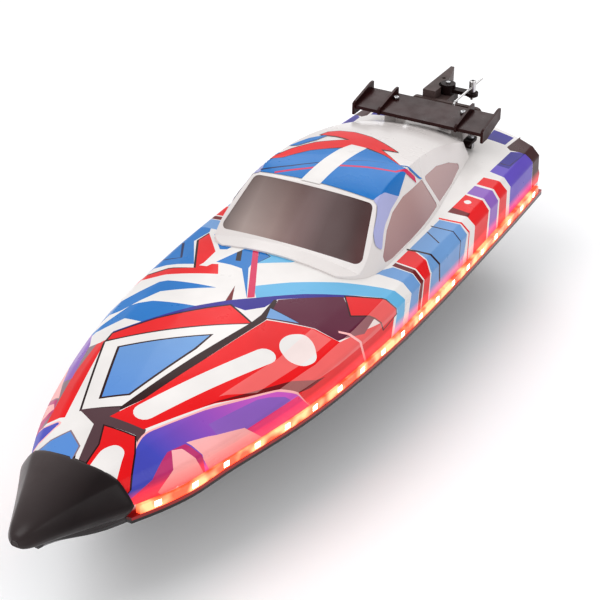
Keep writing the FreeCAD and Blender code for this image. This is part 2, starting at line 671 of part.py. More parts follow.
# ---------------------------------------------------------------- steering at the stern
def make_bracket():
    """Transom plate with a long beam above and two lugs that carry the rudder pin."""
    y0 = TRANSOM_Y
    y1 = TRANSOM_Y + 3.0
    base = slot_face(-27.0, 23.0, -73.0, -41.0, 4.0, 0.0).extrude(Vec(0, 0, 3.0))
    base.rotate(Vec(0, 0, 0), PORT, -90)
    base.translate(Vec(0, y0, 0))
    beam = plate([
        Vec(-19.5, y1 - 1, BEAM_LOW_Z), Vec(-10.5, y1 - 1, BEAM_LOW_Z),
        Vec(-10.5, RUDDER_Y + 6, BEAM_LOW_Z),
        Vec(-17.0, BEAM_TIP_Y, BEAM_LOW_Z), Vec(-19.5, BEAM_TIP_Y, BEAM_LOW_Z),
    ], Vec(0, 0, BEAM_HIGH_Z - BEAM_LOW_Z))
    rib = plate([
        Vec(-18.0, y1 - 1, 47.0), Vec(-18.0, RUDDER_Y - 4, BEAM_LOW_Z), Vec(-18.0, y1 - 1, BEAM_LOW_Z),
    ], Vec(3.5, 0, 0))
    parts = [beam, rib]
    for low, high in (LUG_HIGH, LUG_LOW):
        parts.append(box(RUDDER_X - LUG_R, RUDDER_X + LUG_R, y1 - 1, RUDDER_Y, low, high))
        parts.append(rod(Vec(RUDDER_X, RUDDER_Y, low), UP, LUG_R, high - low))
    gusset = plate([
        Vec(RUDDER_X - 1.5, y1 - 1, LUG_LOW[0] - 3), Vec(RUDDER_X - 1.5, RUDDER_Y - 8, LUG_LOW[0]),
        Vec(RUDDER_X - 1.5, y1 - 1, LUG_LOW[0]),
    ], Vec(3.0, 0, 0))
    parts.append(gusset)
    bracket = base.multiFuse(parts)
    bracket = bracket.cut(rod(Vec(RUDDER_X, RUDDER_Y, 30), UP, PIN_R + RUN_FIT, 60.0))
    bracket = bracket.cut(rod(Vec(RUDDER_X, RUDDER_Y, LUG_HIGH[1]), UP, 6.2, 20.0))
    bracket = bracket.cut(rod(Vec(-15.0, RUDDER_Y + 8.5, BEAM_LOW_Z - 1), UP, 1.3, 30.0))
    for x, z in BRACKET_SCREWS:
        bracket = bracket.cut(rod(Vec(x, y0 - 1, z), AFT, 1.35, 10.0))
    return bracket.removeSplitter()


def make_bracket_screws():
    length = 3.0 + WALL + 1.5
    return [screw(Vec(x, TRANSOM_Y + 3.0, z), Vec(0, -1, 0), 1.25, length, 2.4) for x, z in BRACKET_SCREWS]


def make_rudder():
    """Barrel between the lugs, a web behind the lower lug and the blade below it."""
    low = LUG_LOW[1] + GAP
    high = LUG_HIGH[0] - GAP
    half = 1.25
    x0 = RUDDER_X - half
    x1 = RUDDER_X + half
    barrel = rod(Vec(RUDDER_X, RUDDER_Y, low), UP, 4.2, high - low)
    web = box(x0, x1, RUDDER_Y, RUDDER_Y + 15.0, low, high - 2.0)
    strap = box(x0, x1, RUDDER_Y + 5.6, RUDDER_Y + 15.0, LUG_LOW[0] - 6, low + 2)
    blade = plate([
        Vec(x0, RUDDER_Y - 6.0, LUG_LOW[0] - GAP - 4.0), Vec(x0, RUDDER_Y + 15.0, LUG_LOW[0] - GAP - 0.5),
        Vec(x0, RUDDER_Y + 17.0, -12.0), Vec(x0, RUDDER_Y + 14.0, RUDDER_FOOT_Z),
        Vec(x0, RUDDER_Y + 1.0, RUDDER_FOOT_Z), Vec(x0, RUDDER_Y - 5.0, -14.0),
    ], Vec(2 * half, 0, 0))
    rudder = barrel.multiFuse([web, strap, blade])
    return rudder.cut(rod(Vec(RUDDER_X, RUDDER_Y, 20), UP, PIN_R, 60.0).cut(
        box(-60, 60, 200, 300, 20, LUG_LOW[0] - GAP))).removeSplitter()


def make_rudder_pin():
    base = LUG_LOW[0] - GAP
    pin = rod(Vec(RUDDER_X, RUDDER_Y, base), UP, PIN_R, TILLER_Z + 5.0 - base)
    return pin


def make_tiller():
    """Arm that carries the linkage on its port end."""
    hub = rod(Vec(RUDDER_X, RUDDER_Y, LUG_HIGH[1] + GAP), UP, 5.0, TILLER_Z + 4.0 - LUG_HIGH[1] - GAP)
    arm = box(RUDDER_X, TILLER_X, RUDDER_Y - 2.8, RUDDER_Y + 2.8, TILLER_Z - 1.2, TILLER_Z + 1.2)
    eye = rod(Vec(TILLER_X, RUDDER_Y, TILLER_Z - 1.2), UP, 4.0, 2.4)
    tiller = hub.fuse(arm).fuse(eye)
    tiller = tiller.cut(rod(Vec(RUDDER_X, RUDDER_Y, 60), UP, PIN_R, 30.0))
    return tiller.cut(rod(Vec(TILLER_X, RUDDER_Y, 60), UP, STUD_R + RUN_FIT, 30.0)).removeSplitter()


def make_stopper():
    """Swivel barrel clamped on the pushrod, with a stud through the tiller."""
    low = TILLER_Z + 1.2 + GAP
    barrel = rod(Vec(TILLER_X, RUDDER_Y, low), UP, 2.3, ROD_HIGH_Z + 2.6 - low)
    stud = rod(Vec(TILLER_X, RUDDER_Y, TILLER_Z - 4.0), UP, STUD_R, low - TILLER_Z + 5.0)
    clip = rod(Vec(TILLER_X, RUDDER_Y, TILLER_Z - 1.2 - GAP - 1.0), UP, 2.0, 1.0)
    body = barrel.fuse(stud).fuse(clip)
    body = body.cut(rod(Vec(TILLER_X, RUDDER_Y, ROD_HIGH_Z), UP, 1.1, 10.0))
    return body.cut(rod(Vec(TILLER_X, RUDDER_Y - 10, ROD_HIGH_Z), AFT, ROD_R, 20.0)).removeSplitter()


def make_stopper_screw():
    seat = Vec(TILLER_X, RUDDER_Y, ROD_HIGH_Z + 2.6)
    return screw(seat, Vec(0, 0, -1), 1.1, 2.6 - ROD_R, 2.3).cut(
        rod(Vec(TILLER_X, RUDDER_Y - 10, ROD_HIGH_Z), AFT, ROD_R, 20.0))


def make_pushrod():
    """Wire from the servo horn, up through the deck boot and aft to the tiller."""
    return bent_tube([
        Vec(TILLER_X, SERVO_Y, HORN_Z - 1.6),
        Vec(TILLER_X, SERVO_Y, ROD_LOW_Z + 0.6),
        Vec(TILLER_X, ROD_RISE_Y, ROD_LOW_Z + 0.6),
        Vec(TILLER_X, ROD_RISE_Y, ROD_HIGH_Z),
        Vec(TILLER_X, ROD_TAIL_Y, ROD_HIGH_Z),
    ], 1.8, ROD_R)


def make_boot(deck_outer):
    """Rubber collar round the rod's slot in the deck."""
    x0, x1 = ROD_SLOT_X
    y0, y1 = ROD_SLOT_Y
    skirt = rounded_block(x0 - 2.5, x1 + 2.5, y0 - 1.6, y1 + 1.6, 60.0, 68.6, 3.0)
    neck = rounded_block(x0 - 1.4, x1 + 1.4, y0 - 1.2, y1 + 1.2, 66.0, 71.5, 2.4)
    opening = rounded_block(x0, x1, y0, y1, 50.0, 90.0, 2.0)
    return skirt.fuse(neck).cut(opening).cut(deck_outer).removeSplitter()


# ---------------------------------------------------------------- steering servo
def make_servo():
    body = rounded_block(SERVO_X - 6.0, SERVO_X + 6.0, SERVO_Y - 6.0, SERVO_Y + 17.0, 27.0, 48.0, 1.0)
    ears = rounded_block(SERVO_X - 6.0, SERVO_X + 6.0, SERVO_Y - 10.5, SERVO_Y + 21.5, 42.0, 44.0, 1.5)
    tower = rod(Vec(SERVO_X, SERVO_Y, 47.0), UP, 5.6, 4.0)
    boss = rod(Vec(SERVO_X, SERVO_Y, 51.0), UP, 2.4, HORN_Z - 1.2 - GAP - 51.0)
    servo = body.multiFuse([ears, tower, boss])
    for y in (SERVO_Y - 8.3, SERVO_Y + 19.3):
        servo = servo.cut(rod(Vec(SERVO_X, y, 40), UP, 1.05, 10.0))
    return servo.removeSplitter()


def make_servo_mount():
    """Two posts on the hull floor, one each side of the shaft tube, joined by a bridge."""
    posts = []
    for y in (SERVO_Y - 8.3, SERVO_Y + 19.3):
        bridge = box(SERVO_X - 6.0, SERVO_X + 18.0, y - 2.1, y + 2.1, 36.0, 42.0)
        left = box(SERVO_X - 6.0, SERVO_X - 1.0, y - 2.1, y + 2.1, 0.0, 36.0)
        right = box(SERVO_X + 13.0, SERVO_X + 18.0, y - 2.1, y + 2.1, 0.0, 36.0)
        frame = bridge.fuse(left).fuse(right)
        inside = lofted(HULL_STATIONS, hull_section, WALL)
        clear = inside.fuse(box(-60, 60, 100, 228, SEAM_Z, 60))
        frame = frame.common(clear)
        posts.append(frame.cut(rod(Vec(SERVO_X, y, 34), UP, 0.9, 20.0)).removeSplitter())
    return posts


def make_servo_screws():
    places = (SERVO_Y - 8.3, SERVO_Y + 19.3)
    return [screw(Vec(SERVO_X, y, 44.0), Vec(0, 0, -1), 0.85, 8.0, 1.9) for y in places]


def make_horn():
    hub = rod(Vec(SERVO_X, SERVO_Y, HORN_Z - 1.2), UP, 3.8, 2.8)
    arm = box(SERVO_X, TILLER_X, SERVO_Y - 2.0, SERVO_Y + 2.0, HORN_Z - 1.2, HORN_Z + 0.6)
    eye = rod(Vec(TILLER_X, SERVO_Y, HORN_Z - 1.2), UP, 2.6, 1.8)
    horn = hub.fuse(arm).fuse(eye)
    horn = horn.cut(rod(Vec(SERVO_X, SERVO_Y, 40), UP, 0.9, 30.0))
    return horn.cut(rod(Vec(TILLER_X, SERVO_Y, 40), UP, ROD_R + RUN_FIT, 30.0)).removeSplitter()


def make_horn_screw():
    return screw(Vec(SERVO_X, SERVO_Y, HORN_Z + 1.6), Vec(0, 0, -1), 0.9, 2.7, 1.7)


# ---------------------------------------------------------------- motor and screw drive
def along_shaft(y, radius, length):
    """A round bar on the shaft line, from y aft."""
    return rod(shaft_point(y), shaft_direction(), radius, length)


def shaft_y(y, distance):
    """The y of a point further along the shaft line."""
    return y + distance * math.cos(SHAFT_ANGLE)


def make_motor():
    can = along_shaft(MOTOR_Y, MOTOR_R, MOTOR_LENGTH)
    rims = [edge for edge in can.Edges if abs(edge.Length - 2 * math.pi * MOTOR_R) < 0.1]
    can = can.makeFillet(1.2, rims)
    boss = along_shaft(shaft_y(MOTOR_Y, MOTOR_LENGTH - 0.5), 5.0, 2.5)
    motor = can.fuse(boss)
    motor = motor.cut(along_shaft(shaft_y(MOTOR_Y, MOTOR_LENGTH - 12), 1.6 + RUN_FIT, 20.0))
    return motor.removeSplitter()


def make_water_jacket():
    ring = along_shaft(shaft_y(MOTOR_Y, 9.0), MOTOR_R + 1.6, 24.0)
    ring = ring.cut(along_shaft(shaft_y(MOTOR_Y, 8.0), MOTOR_R, 26.0))
    for distance in (13.0, 28.0):
        base = shaft_point(shaft_y(MOTOR_Y, distance))
        spigot = rod(Vec(0, base.y, base.z + MOTOR_R + 1.0), UP, NIPPLE_R, 7.0)
        bore = rod(Vec(0, base.y, base.z + MOTOR_R + 1.8), UP, 1.0, 8.0)
        ring = ring.fuse(spigot).cut(bore)
    return ring.removeSplitter()


def make_motor_mount():
    """Plate across the hull behind the motor, bolted to its face."""
    y = shaft_y(MOTOR_Y, MOTOR_LENGTH)
    centre = shaft_point(y)
    sheet = box(-24, 24, -2.5, 0, 3.5 - centre.z, 36 - centre.z)
    sheet.rotate(Vec(0, 0, 0), PORT, -math.degrees(SHAFT_ANGLE))
    sheet.translate(centre + shaft_direction() * 2.6)
    sheet = sheet.cut(along_shaft(shaft_y(y, -5), 5.1, 20.0))
    inside = lofted(HULL_STATIONS, hull_section, WALL)
    return sheet.common(inside.fuse(box(-60, 60, 60, 160, SEAM_Z, 60))).removeSplitter()


def make_motor_shaft():
    return along_shaft(shaft_y(MOTOR_Y, MOTOR_LENGTH - 11), 1.6, 22.0)


def make_coupling():
    start = shaft_y(MOTOR_Y, MOTOR_LENGTH + 5.5)
    body = along_shaft(start, 4.5, 14.0)
    groove = along_shaft(shaft_y(start, 6.4), 6.0, 1.2).cut(along_shaft(shaft_y(start, 6.0), 3.6, 2.0))
    body = body.cut(groove)
    body = body.cut(along_shaft(shaft_y(start, -1), 1.6, 6.5 + 1.0))
    return body.cut(along_shaft(shaft_y(start, 7.5), SHAFT_R, 10.0)).removeSplitter()


def make_drive_shaft():
    start = shaft_y(MOTOR_Y, MOTOR_LENGTH + 5.5 + 7.5)
    length = (PROP_Y + 7.0 - start) / math.cos(SHAFT_ANGLE)
    return along_shaft(start, SHAFT_R, length)


def make_shaft_tube():
    start = shaft_y(MOTOR_Y, MOTOR_LENGTH + 24.0)
    length = (STRUT_Y - 8.0 - start) / math.cos(SHAFT_ANGLE)
    tube = along_shaft(start, SHAFT_TUBE_R, length)
    return tube.cut(along_shaft(shaft_y(start, -2), SHAFT_R + 0.5, length + 4))


def make_strut():
    """Barrel on the shaft line, hung from a foot under the keel pad."""
    start = shaft_y(STRUT_Y, -6.5)
    barrel = along_shaft(start, 4.2, 13.0)
    pylon = box(-1.2, 1.2, STRUT_Y - 5.0, STRUT_Y + 5.0, PROP_Z + 3.0, -1.0)
    foot = rounded_block(-5.0, 5.0, STRUT_Y - 8.0, STRUT_Y + 7.0, -1.4, 0.0, 2.0)
    strut = barrel.fuse(pylon).fuse(foot)
    return strut.cut(along_shaft(shaft_y(start, -2), 3.0, 17.0)).removeSplitter()


def make_bushing():
    start = shaft_y(STRUT_Y, -6.5)
    sleeve = along_shaft(start, 3.0, 13.0)
    return sleeve.cut(along_shaft(shaft_y(start, -2), SHAFT_R + RUN_FIT, 17.0))


def make_drive_dog():
    start = shaft_y(PROP_Y, -6.3)
    dog = along_shaft(start, 3.6, 3.0).cut(along_shaft(shaft_y(start, -1), SHAFT_R, 6.0))
    return dog


def make_propeller():
    """Hub with two pitched blades."""
    start = shaft_y(PROP_Y, -3.3)
    hub = along_shaft(start, 3.4, 7.0)
    axis = shaft_direction()
    centre = shaft_point(shaft_y(start, 3.4))
    blades = []
    for half_turn in (0, 180):
        sections = []
        for radius, pitch_angle, width in BLADE_ROWS:
            lean = math.radians(pitch_angle)
            flow = Vec(math.cos(lean), math.sin(lean), 0)
            face = Vec(-math.sin(lean), math.cos(lean), 0)
            middle = Vec(0, 0, radius)
            half = width / 2
            thick = 0.62 - 0.018 * radius
            sections.append(polygon([
                middle - flow * half,
                middle - flow * half * 0.3 - face * thick,
                middle + flow * half,
                middle + flow * half * 0.1 + face * thick,
            ]))
        blade = Part.makeLoft(sections, True, False)
        blade.rotate(Vec(0, 0, 0), AFT, half_turn)
        blades.append(blade)
    cluster = blades[0].fuse(blades[1])
    cluster.rotate(Vec(0, 0, 0), PORT, -math.degrees(SHAFT_ANGLE))
    cluster.translate(centre)
    cluster.rotate(centre, axis, 35)
    prop = hub.fuse(cluster)
    return prop.cut(along_shaft(shaft_y(start, -2), SHAFT_R, 12.0)).removeSplitter()


def make_prop_nut():
    start = shaft_y(PROP_Y, 3.75)
    nut = along_shaft(start, 3.3, 2.6)
    sides = plate([
        Vec(3.1 * math.cos(math.radians(60 * k)), 0, 3.1 * math.sin(math.radians(60 * k))) for k in range(6)
    ], Vec(0, 12, 0))
    sides.rotate(Vec(0, 0, 0), PORT, -math.degrees(SHAFT_ANGLE))
    sides.translate(shaft_point(start) - shaft_direction() * 3.0)
    return nut.common(sides).cut(along_shaft(shaft_y(start, -2), SHAFT_R, 12.0)).removeSplitter()


# ---------------------------------------------------------------- electrics and cooling
def floor_rails(x, y0, y1, top, width):
    """A pair of rails from the hull floor up to a flat top."""
    rails = []
    inside = lofted(HULL_STATIONS, hull_section, WALL)
    for side in (-1, 1):
        rail = box(side * x - width / 2, side * x + width / 2, y0, y1, 0, top)
        rails.append(rail.common(inside))
    return rails


def make_battery_tray():
    deck = rounded_block(-20, 20, BATTERY_Y0 - 3, BATTERY_Y1 + 3, 11.0, 12.6, 2.0)
    for y in (BATTERY_MID - 1.6 - 20, BATTERY_MID - 1.6 + 20):
        for side in (-1, 1):
            deck = deck.cut(box(side * 17.8 - 1.2, side * 17.8 + 1.2, y - 7, y + 10, 10, 14))
    tray = deck
    for rail in floor_rails(12.0, BATTERY_Y0 - 3, BATTERY_Y1 + 3, 11.0, 3.0):
        tray = tray.fuse(rail)
    return tray.removeSplitter()


def make_battery():
    pack = rounded_block(-BATTERY_HALF, BATTERY_HALF, BATTERY_Y0, BATTERY_Y1, 12.6, 36.0, 3.0)
    top = [edge for edge in pack.Edges if edge.BoundBox.ZMin > 35.9]
    return pack.makeFillet(2.0, top)


def make_battery_straps():
    """Hook-and-loop straps over the pack, through the tray's slots."""
    straps = []
    for offset in (-20, 20):
        y = BATTERY_MID + offset
        outside = box(-18.4, 18.4, y - 6, y + 6, 9.4, 37.4)
        inside = box(-17.2, 17.2, y - 7, y + 7, 10.8, 36.2)
        ring = outside.cut(inside).cut(make_battery_tray()).cut(make_battery())
        for solid in ring.Solids:
            if solid.Volume > 20:
                straps.append(solid)
    return straps


def make_control_box():
    base = rounded_block(-24, 24, CONTROL_Y0, CONTROL_Y1, 26.0, 40.0, 3.0)
    return base


def make_control_shelf(hull_inner):
    shelf = box(-80, 80, CONTROL_Y0 - 2, CONTROL_Y1 + 2, 24.0, 26.0)
    return shelf.common(hull_inner)


def make_contacts():
    pins = []
    for x in (-CONTACT_X, CONTACT_X):
        floor = bottom_height(x, CONTACT_Y)
        head = rod(Vec(x, CONTACT_Y, floor - 1.9), UP, 2.4, 0.8)
        stem = rod(Vec(x, CONTACT_Y, floor - 1.9), UP, CONTACT_R, 9.3)
        pins.append(stem.fuse(head))
    return pins


def bottom_height(x, y):
    """Height of the hull's outer bottom at a point."""
    row = station_at(HULL_STATIONS, y)
    chine, pad = row[2], row[3]
    share = (abs(x) - pad[0]) / (chine[0] - pad[0])
    return pad[1] + share * (chine[1] - pad[1])


def make_drain_plug():
    face = TRANSOM_Y
    stem = rod(Vec(DRAIN_X, face - 6.0, DRAIN_Z), AFT, DRAIN_R, 6.0)
    head = rod(Vec(DRAIN_X, face, DRAIN_Z), AFT, 5.0, 2.0)
    bar = box(DRAIN_X - 4.0, DRAIN_X + 4.0, face + 2.0, face + 4.5, DRAIN_Z - 0.8, DRAIN_Z + 0.8)
    return stem.fuse(head).fuse(bar).removeSplitter()


def make_outlet():
    tube = rod(Vec(OUTLET_X, TRANSOM_Y - 9.0, OUTLET_Z), AFT, NIPPLE_R, 9.0 + OUTLET_REACH)
    collar = rod(Vec(OUTLET_X, TRANSOM_Y, OUTLET_Z), AFT, 3.6, 1.2)
    bore = rod(Vec(OUTLET_X, TRANSOM_Y - 12.0, OUTLET_Z), AFT, 1.2, 30.0)
    return tube.fuse(collar).cut(bore).removeSplitter()


def make_pickup():
    """Bent water scoop that stands through the hull bottom."""
    low = 1.5
    outer = bent_tube([Vec(PICKUP_X, PICKUP_Y - 6.0, low), Vec(PICKUP_X, PICKUP_Y, low),
                       Vec(PICKUP_X, PICKUP_Y, 16.0)], 3.2, NIPPLE_R)
    inner = bent_tube([Vec(PICKUP_X, PICKUP_Y - 7.0, low), Vec(PICKUP_X, PICKUP_Y, low),
                       Vec(PICKUP_X, PICKUP_Y, 17.0)], 3.2, 1.2)
    return outer.cut(inner)


def make_hoses():
    """Silicone hoses: pickup to jacket, jacket to outlet."""
    front = shaft_point(shaft_y(MOTOR_Y, 13.0))
    rear = shaft_point(shaft_y(MOTOR_Y, 28.0))
    top = 48.0
    supply = [Vec(PICKUP_X, PICKUP_Y, 12.5), Vec(PICKUP_X, PICKUP_Y, top), Vec(PICKUP_X, front.y, top),
              Vec(0, front.y, top), Vec(0, front.y, front.z + MOTOR_R + 2.5)]
    drain = [Vec(OUTLET_X, TRANSOM_Y - 3.5, OUTLET_Z), Vec(OUTLET_X, 206.0, OUTLET_Z),
             Vec(OUTLET_X, 184.0, top), Vec(OUTLET_X, rear.y, top),
             Vec(0, rear.y, top), Vec(0, rear.y, rear.z + MOTOR_R + 2.5)]
    hoses = []
    for route in (supply, drain):
        wall = bent_tube(route, HOSE_BEND, 3.0)
        hoses.append(wall.cut(bent_tube(route, HOSE_BEND, NIPPLE_R)))
    return hoses


# ---------------------------------------------------------------- the model
def main():
    os.makedirs("parts", exist_ok=True)
    deck_outer = lofted(DECK_STATIONS, deck_section, 0.0)
    hull_outer = lofted(HULL_STATIONS, hull_section, 0.0)
    hull_inner = lofted(HULL_STATIONS, hull_section, WALL)
    save("deck_shell", make_deck(deck_outer))
    save("hull_lower", make_hull(hull_outer))
    save("bow_bumper", make_bumper(deck_outer, hull_outer))
    save_lights(deck_outer)
    save_cabin(deck_outer)
    save_wing(deck_outer)
    save_steering(deck_outer)
    save_drive()
    save_electrics(hull_inner)


def save_lights(deck_outer):
    lamps = make_lamps(deck_outer)
    strip = make_strip(deck_outer, lamps)
    save("light_strip_port", strip)
    save("light_strip_starboard", mirrored(strip))
    save("lamps_port", *lamps)
    save("lamps_starboard", *[mirrored(lamp) for lamp in lamps])


def save_cabin(deck_outer):
    shell, screen, panes = make_cabin(deck_outer)
    save("cabin_shell", shell)
    save("windshield", screen)
    port_panes = [pane for pane in panes if pane.CenterOfMass.x > 0]
    save("side_window_port", *port_panes)
    save("side_window_starboard", *[mirrored(pane) for pane in port_panes])
    save("cabin_latch", make_latch())
    save("latch_pin", make_latch_pin().cut(deck_outer))
    save("hatch_cover", make_hatch_cover())
    save("hatch_seal", make_hatch_seal(deck_outer))


def save_wing(deck_outer):
    wing = make_wing()
    save("rear_wing", wing)
    save("wing_post_port", make_post(1, deck_outer, wing))
    save("wing_post_starboard", make_post(-1, deck_outer, wing))
    save("wing_screws", *make_wing_screws())


def save_steering(deck_outer):
    save("rudder_bracket", make_bracket())
    save("bracket_screws", *make_bracket_screws())
    save("rudder", make_rudder())
    save("rudder_pin", make_rudder_pin())
    save("tiller_arm", make_tiller())
    save("linkage_stopper", make_stopper())
    save("stopper_screw", make_stopper_screw())
    save("pushrod", make_pushrod())
    save("pushrod_boot", make_boot(deck_outer))
    save("steering_servo", make_servo())
    save("servo_mount", *make_servo_mount())
    save("servo_screws", *make_servo_screws())
    save("servo_horn", make_horn())
    save("horn_screw", make_horn_screw())


def save_drive():
    save("motor", make_motor())
    save("water_jacket", make_water_jacket())
    save("motor_mount", make_motor_mount())
    save("motor_shaft", make_motor_shaft())
    save("shaft_coupling", make_coupling())
    save("drive_shaft", make_drive_shaft())
    save("shaft_tube", make_shaft_tube())
    save("shaft_strut", make_strut())
    save("strut_bushing", make_bushing())
    save("drive_dog", make_drive_dog())
    save("propeller", make_propeller())
    save("prop_nut", make_prop_nut())


def save_electrics(hull_inner):
    save("battery_tray", make_battery_tray())
    save("battery_pack", make_battery())
    save("battery_straps", *make_battery_straps())
    save("control_box", make_control_box())
    save("control_shelf", make_control_shelf(hull_inner))
    save("water_contacts", *make_contacts())
    save("drain_plug", make_drain_plug())
    save("water_outlet", make_outlet())
    save("water_pickup", make_pickup())
    save("cooling_hoses", *make_hoses())


main()
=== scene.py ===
import json
import math

import bpy
from mathutils import Matrix, Vector
from mathutils.bvhtree import BVHTree
from mathutils.geometry import delaunay_2d_cdt


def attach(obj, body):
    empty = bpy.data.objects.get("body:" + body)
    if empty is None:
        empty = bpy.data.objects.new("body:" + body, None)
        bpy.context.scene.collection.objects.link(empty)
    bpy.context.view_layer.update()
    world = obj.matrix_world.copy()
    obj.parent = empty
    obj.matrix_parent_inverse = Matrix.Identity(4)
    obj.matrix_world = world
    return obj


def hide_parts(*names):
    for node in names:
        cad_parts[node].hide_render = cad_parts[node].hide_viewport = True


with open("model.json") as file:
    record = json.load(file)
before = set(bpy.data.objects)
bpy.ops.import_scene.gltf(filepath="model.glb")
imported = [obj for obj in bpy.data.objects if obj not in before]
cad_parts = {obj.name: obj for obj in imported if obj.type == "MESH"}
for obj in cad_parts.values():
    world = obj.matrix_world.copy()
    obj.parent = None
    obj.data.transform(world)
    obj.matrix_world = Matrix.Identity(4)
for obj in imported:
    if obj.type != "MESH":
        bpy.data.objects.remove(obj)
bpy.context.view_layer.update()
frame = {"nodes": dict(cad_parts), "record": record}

# Looks of the RC speed boat. Lengths in the tables are millimetres in the boat's frame:
# +X port, +Y aft, +Z up.
MM = 0.001

# Deck sections: y, seam half beam, lower facet edge, upper facet edge, top edge (x, z), crown z.
STATIONS = [
    (-215.0, 4.0, (6.6, 33.5), (5.2, 38.5), (3.6, 41.5), 43.0),
    (-180.0, 26.0, (27.8, 41.8), (24.2, 45.8), (17.4, 49.8), 51.8),
    (-155.0, 38.0, (39.8, 44.0), (35.5, 48.2), (26.5, 53.3), 56.2),
    (-125.0, 45.0, (50.3, 45.4), (45.8, 50.0), (35.5, 56.3), 60.0),
    (-70.0, 58.0, (63.0, 48.5), (58.3, 53.2), (45.0, 58.6), 64.0),
    (0.0, 66.0, (69.3, 50.8), (64.3, 55.8), (51.5, 59.8), 66.3),
    (70.0, 68.3, (70.3, 52.0), (65.3, 57.0), (54.5, 59.4), 66.8),
    (150.0, 68.0, (68.6, 52.0), (63.8, 56.8), (54.5, 59.3), 66.8),
    (230.0, 66.5, (65.6, 50.5), (60.8, 55.5), (52.0, 58.8), 66.0),
]
FILM_START_Y = -182.0
FILM_END_Y = 229.7
FILM_LOW_Z = 32.0            # the film stops just above the light strip
FILM_LIFT = 0.25
SEAM_Z = 25.0
ROW_PITCH = 6.0
EDGE_PITCH = 6.0
SOFT_EDGE = 1.4              # half width of the rounding along each deck ridge
CROWN_SHARES = (-0.83, -0.66, -0.5, -0.33, -0.17, 0.0, 0.17, 0.33, 0.5, 0.66, 0.83)
CABIN_HOLE = [(-26, 12), (26, 12), (44, 22), (48, 45), (48, 90), (43, 125), (38, 160), (30, 186),
              (-30, 186), (-38, 160), (-43, 125), (-48, 90), (-48, 45), (-44, 22)]
ROD_HOLE = [(4.5, 206), (12.2, 206), (12.2, 228.6), (4.5, 228.6)]
WELD = 1e-5                  # points of a plan closer than this become one
PAINTED_HIGHLIGHT_RGB = (255, 200, 195)   # painted highlight: a pale sheen laid over parts of the film
PAINTED_HIGHLIGHT_SHARE = 0.24

# Red light that the strip throws on the lower edge of the film.
GLOW_LOW = 31.0
GLOW_TOP = 41.0
GLOW_MIX = 0.5
GLOW_POWER = 0.7
FLANGE_LIT = (28.4, 32.0)    # the shell turns red below these heights
NOSE_EDGE_Y = (-180.6, -180.2)

# Roof print of the cabin.
ROOF_LIFT = 0.35
ROOF_LOW_Z = 65.0            # the print stays on the cabin, above this height
ROOF_PITCH = 2.0
ROOF_ROWS = [26.5 + ROOF_PITCH * step for step in range(50)]
# The shell curves down at its sides, so the columns stand closer there.
ROOF_SIDES = [side * (34.5 + 0.6 * step) + 0.1 for side in (-1, 1) for step in range(14)]
ROOF_COLUMNS = [ROOF_PITCH * step + 0.1 for step in range(-17, 18)] + ROOF_SIDES
SLOPE_STEP = 1.5             # distance over which the shell's slope is measured
RAY_START_Z = 200.0          # rays fall on the shell from here
SEARCH_STEP = 0.4            # step towards the middle while looking for the shell
SEARCH_COUNT = 12

# Nose cap: y, half width, bottom z, top z of each ring, then the ring's outline as shares.
NOSE_ROWS = [
    (-229.2, 2.2, 33.4, 36.8),
    (-228.0, 4.6, 31.6, 39.0),
    (-224.0, 8.0, 30.4, 41.4),
    (-216.0, 12.0, 29.3, 44.2),
    (-200.0, 21.5, 26.8, 48.3),
    (-189.0, 28.6, 25.1, 50.8),
    (-181.2, 34.0, 23.8, 52.5),
]
NOSE_PROFILE = [(0.0, 0.0), (0.45, 0.0), (0.84, 0.06), (1.0, 0.42), (0.86, 0.68), (0.74, 0.83),
                (0.5, 0.95), (0.0, 1.0)]
NOSE_RIDGES = (3, 5)         # outline points that carry a soft ridge
NOSE_CREASE = 0.55
NOSE_LIP = 0.86              # width of the last ring against the one before it

# Stage and view. Metres and degrees.
FLOOR_Z = -27.0              # millimetres
FLOOR_REACH = 6.0
WORLD_POWER = 0.62
LIGHTS = [
    # name, place, size, power
    ("key", (-0.5, -0.9, 1.5), (1.0, 1.0), 9.0),
    ("fill", (1.3, -0.2, 0.9), (0.9, 1.0), 3.4),
    ("back", (-0.4, 1.3, 1.1), (1.4, 0.8), 6.0),
]
LIGHT_TARGET = (0.0, 0.0, 0.05)
CAMERA_PLACE = (0.3689, -0.6311, 0.4800)
CAMERA_AZIMUTH = 29.12
CAMERA_ELEVATION = 30.93
CAMERA_ROLL = 0.2
CAMERA_LENS = 92.2


# ---------------------------------------------------------------- colours
def linear(red, green, blue):
    """An sRGB colour, 0 to 255, as linear RGBA."""
    def one(value):
        value /= 255.0
        return value / 12.92 if value <= 0.04045 else ((value + 0.055) / 1.055) ** 2.4
    return (one(red), one(green), one(blue), 1.0)


LIVERY = {
    "white": (226, 222, 220),
    "red": (222, 14, 22),
    "dark_red": (112, 6, 16),
    "crimson": (205, 38, 88),
    "blue": (26, 116, 188),
    "light_blue": (112, 154, 204),
    "sky": (104, 176, 216),
    "navy": (18, 34, 84),
    "indigo": (46, 34, 140),
    "violet": (142, 98, 184),
    "purple": (74, 78, 180),
    "grape": (98, 76, 184),
    "pink": (232, 32, 110),
    "pale_pink": (240, 178, 178),
    "magenta": (186, 50, 112),
    "plum": (92, 8, 50),
    "lavender": (172, 174, 214),
    "black": (34, 8, 12),
    "outline": (44, 4, 8),
    "grey": (138, 118, 126),
    "star_grey": (88, 62, 68),
    "rim": (60, 10, 12),
}


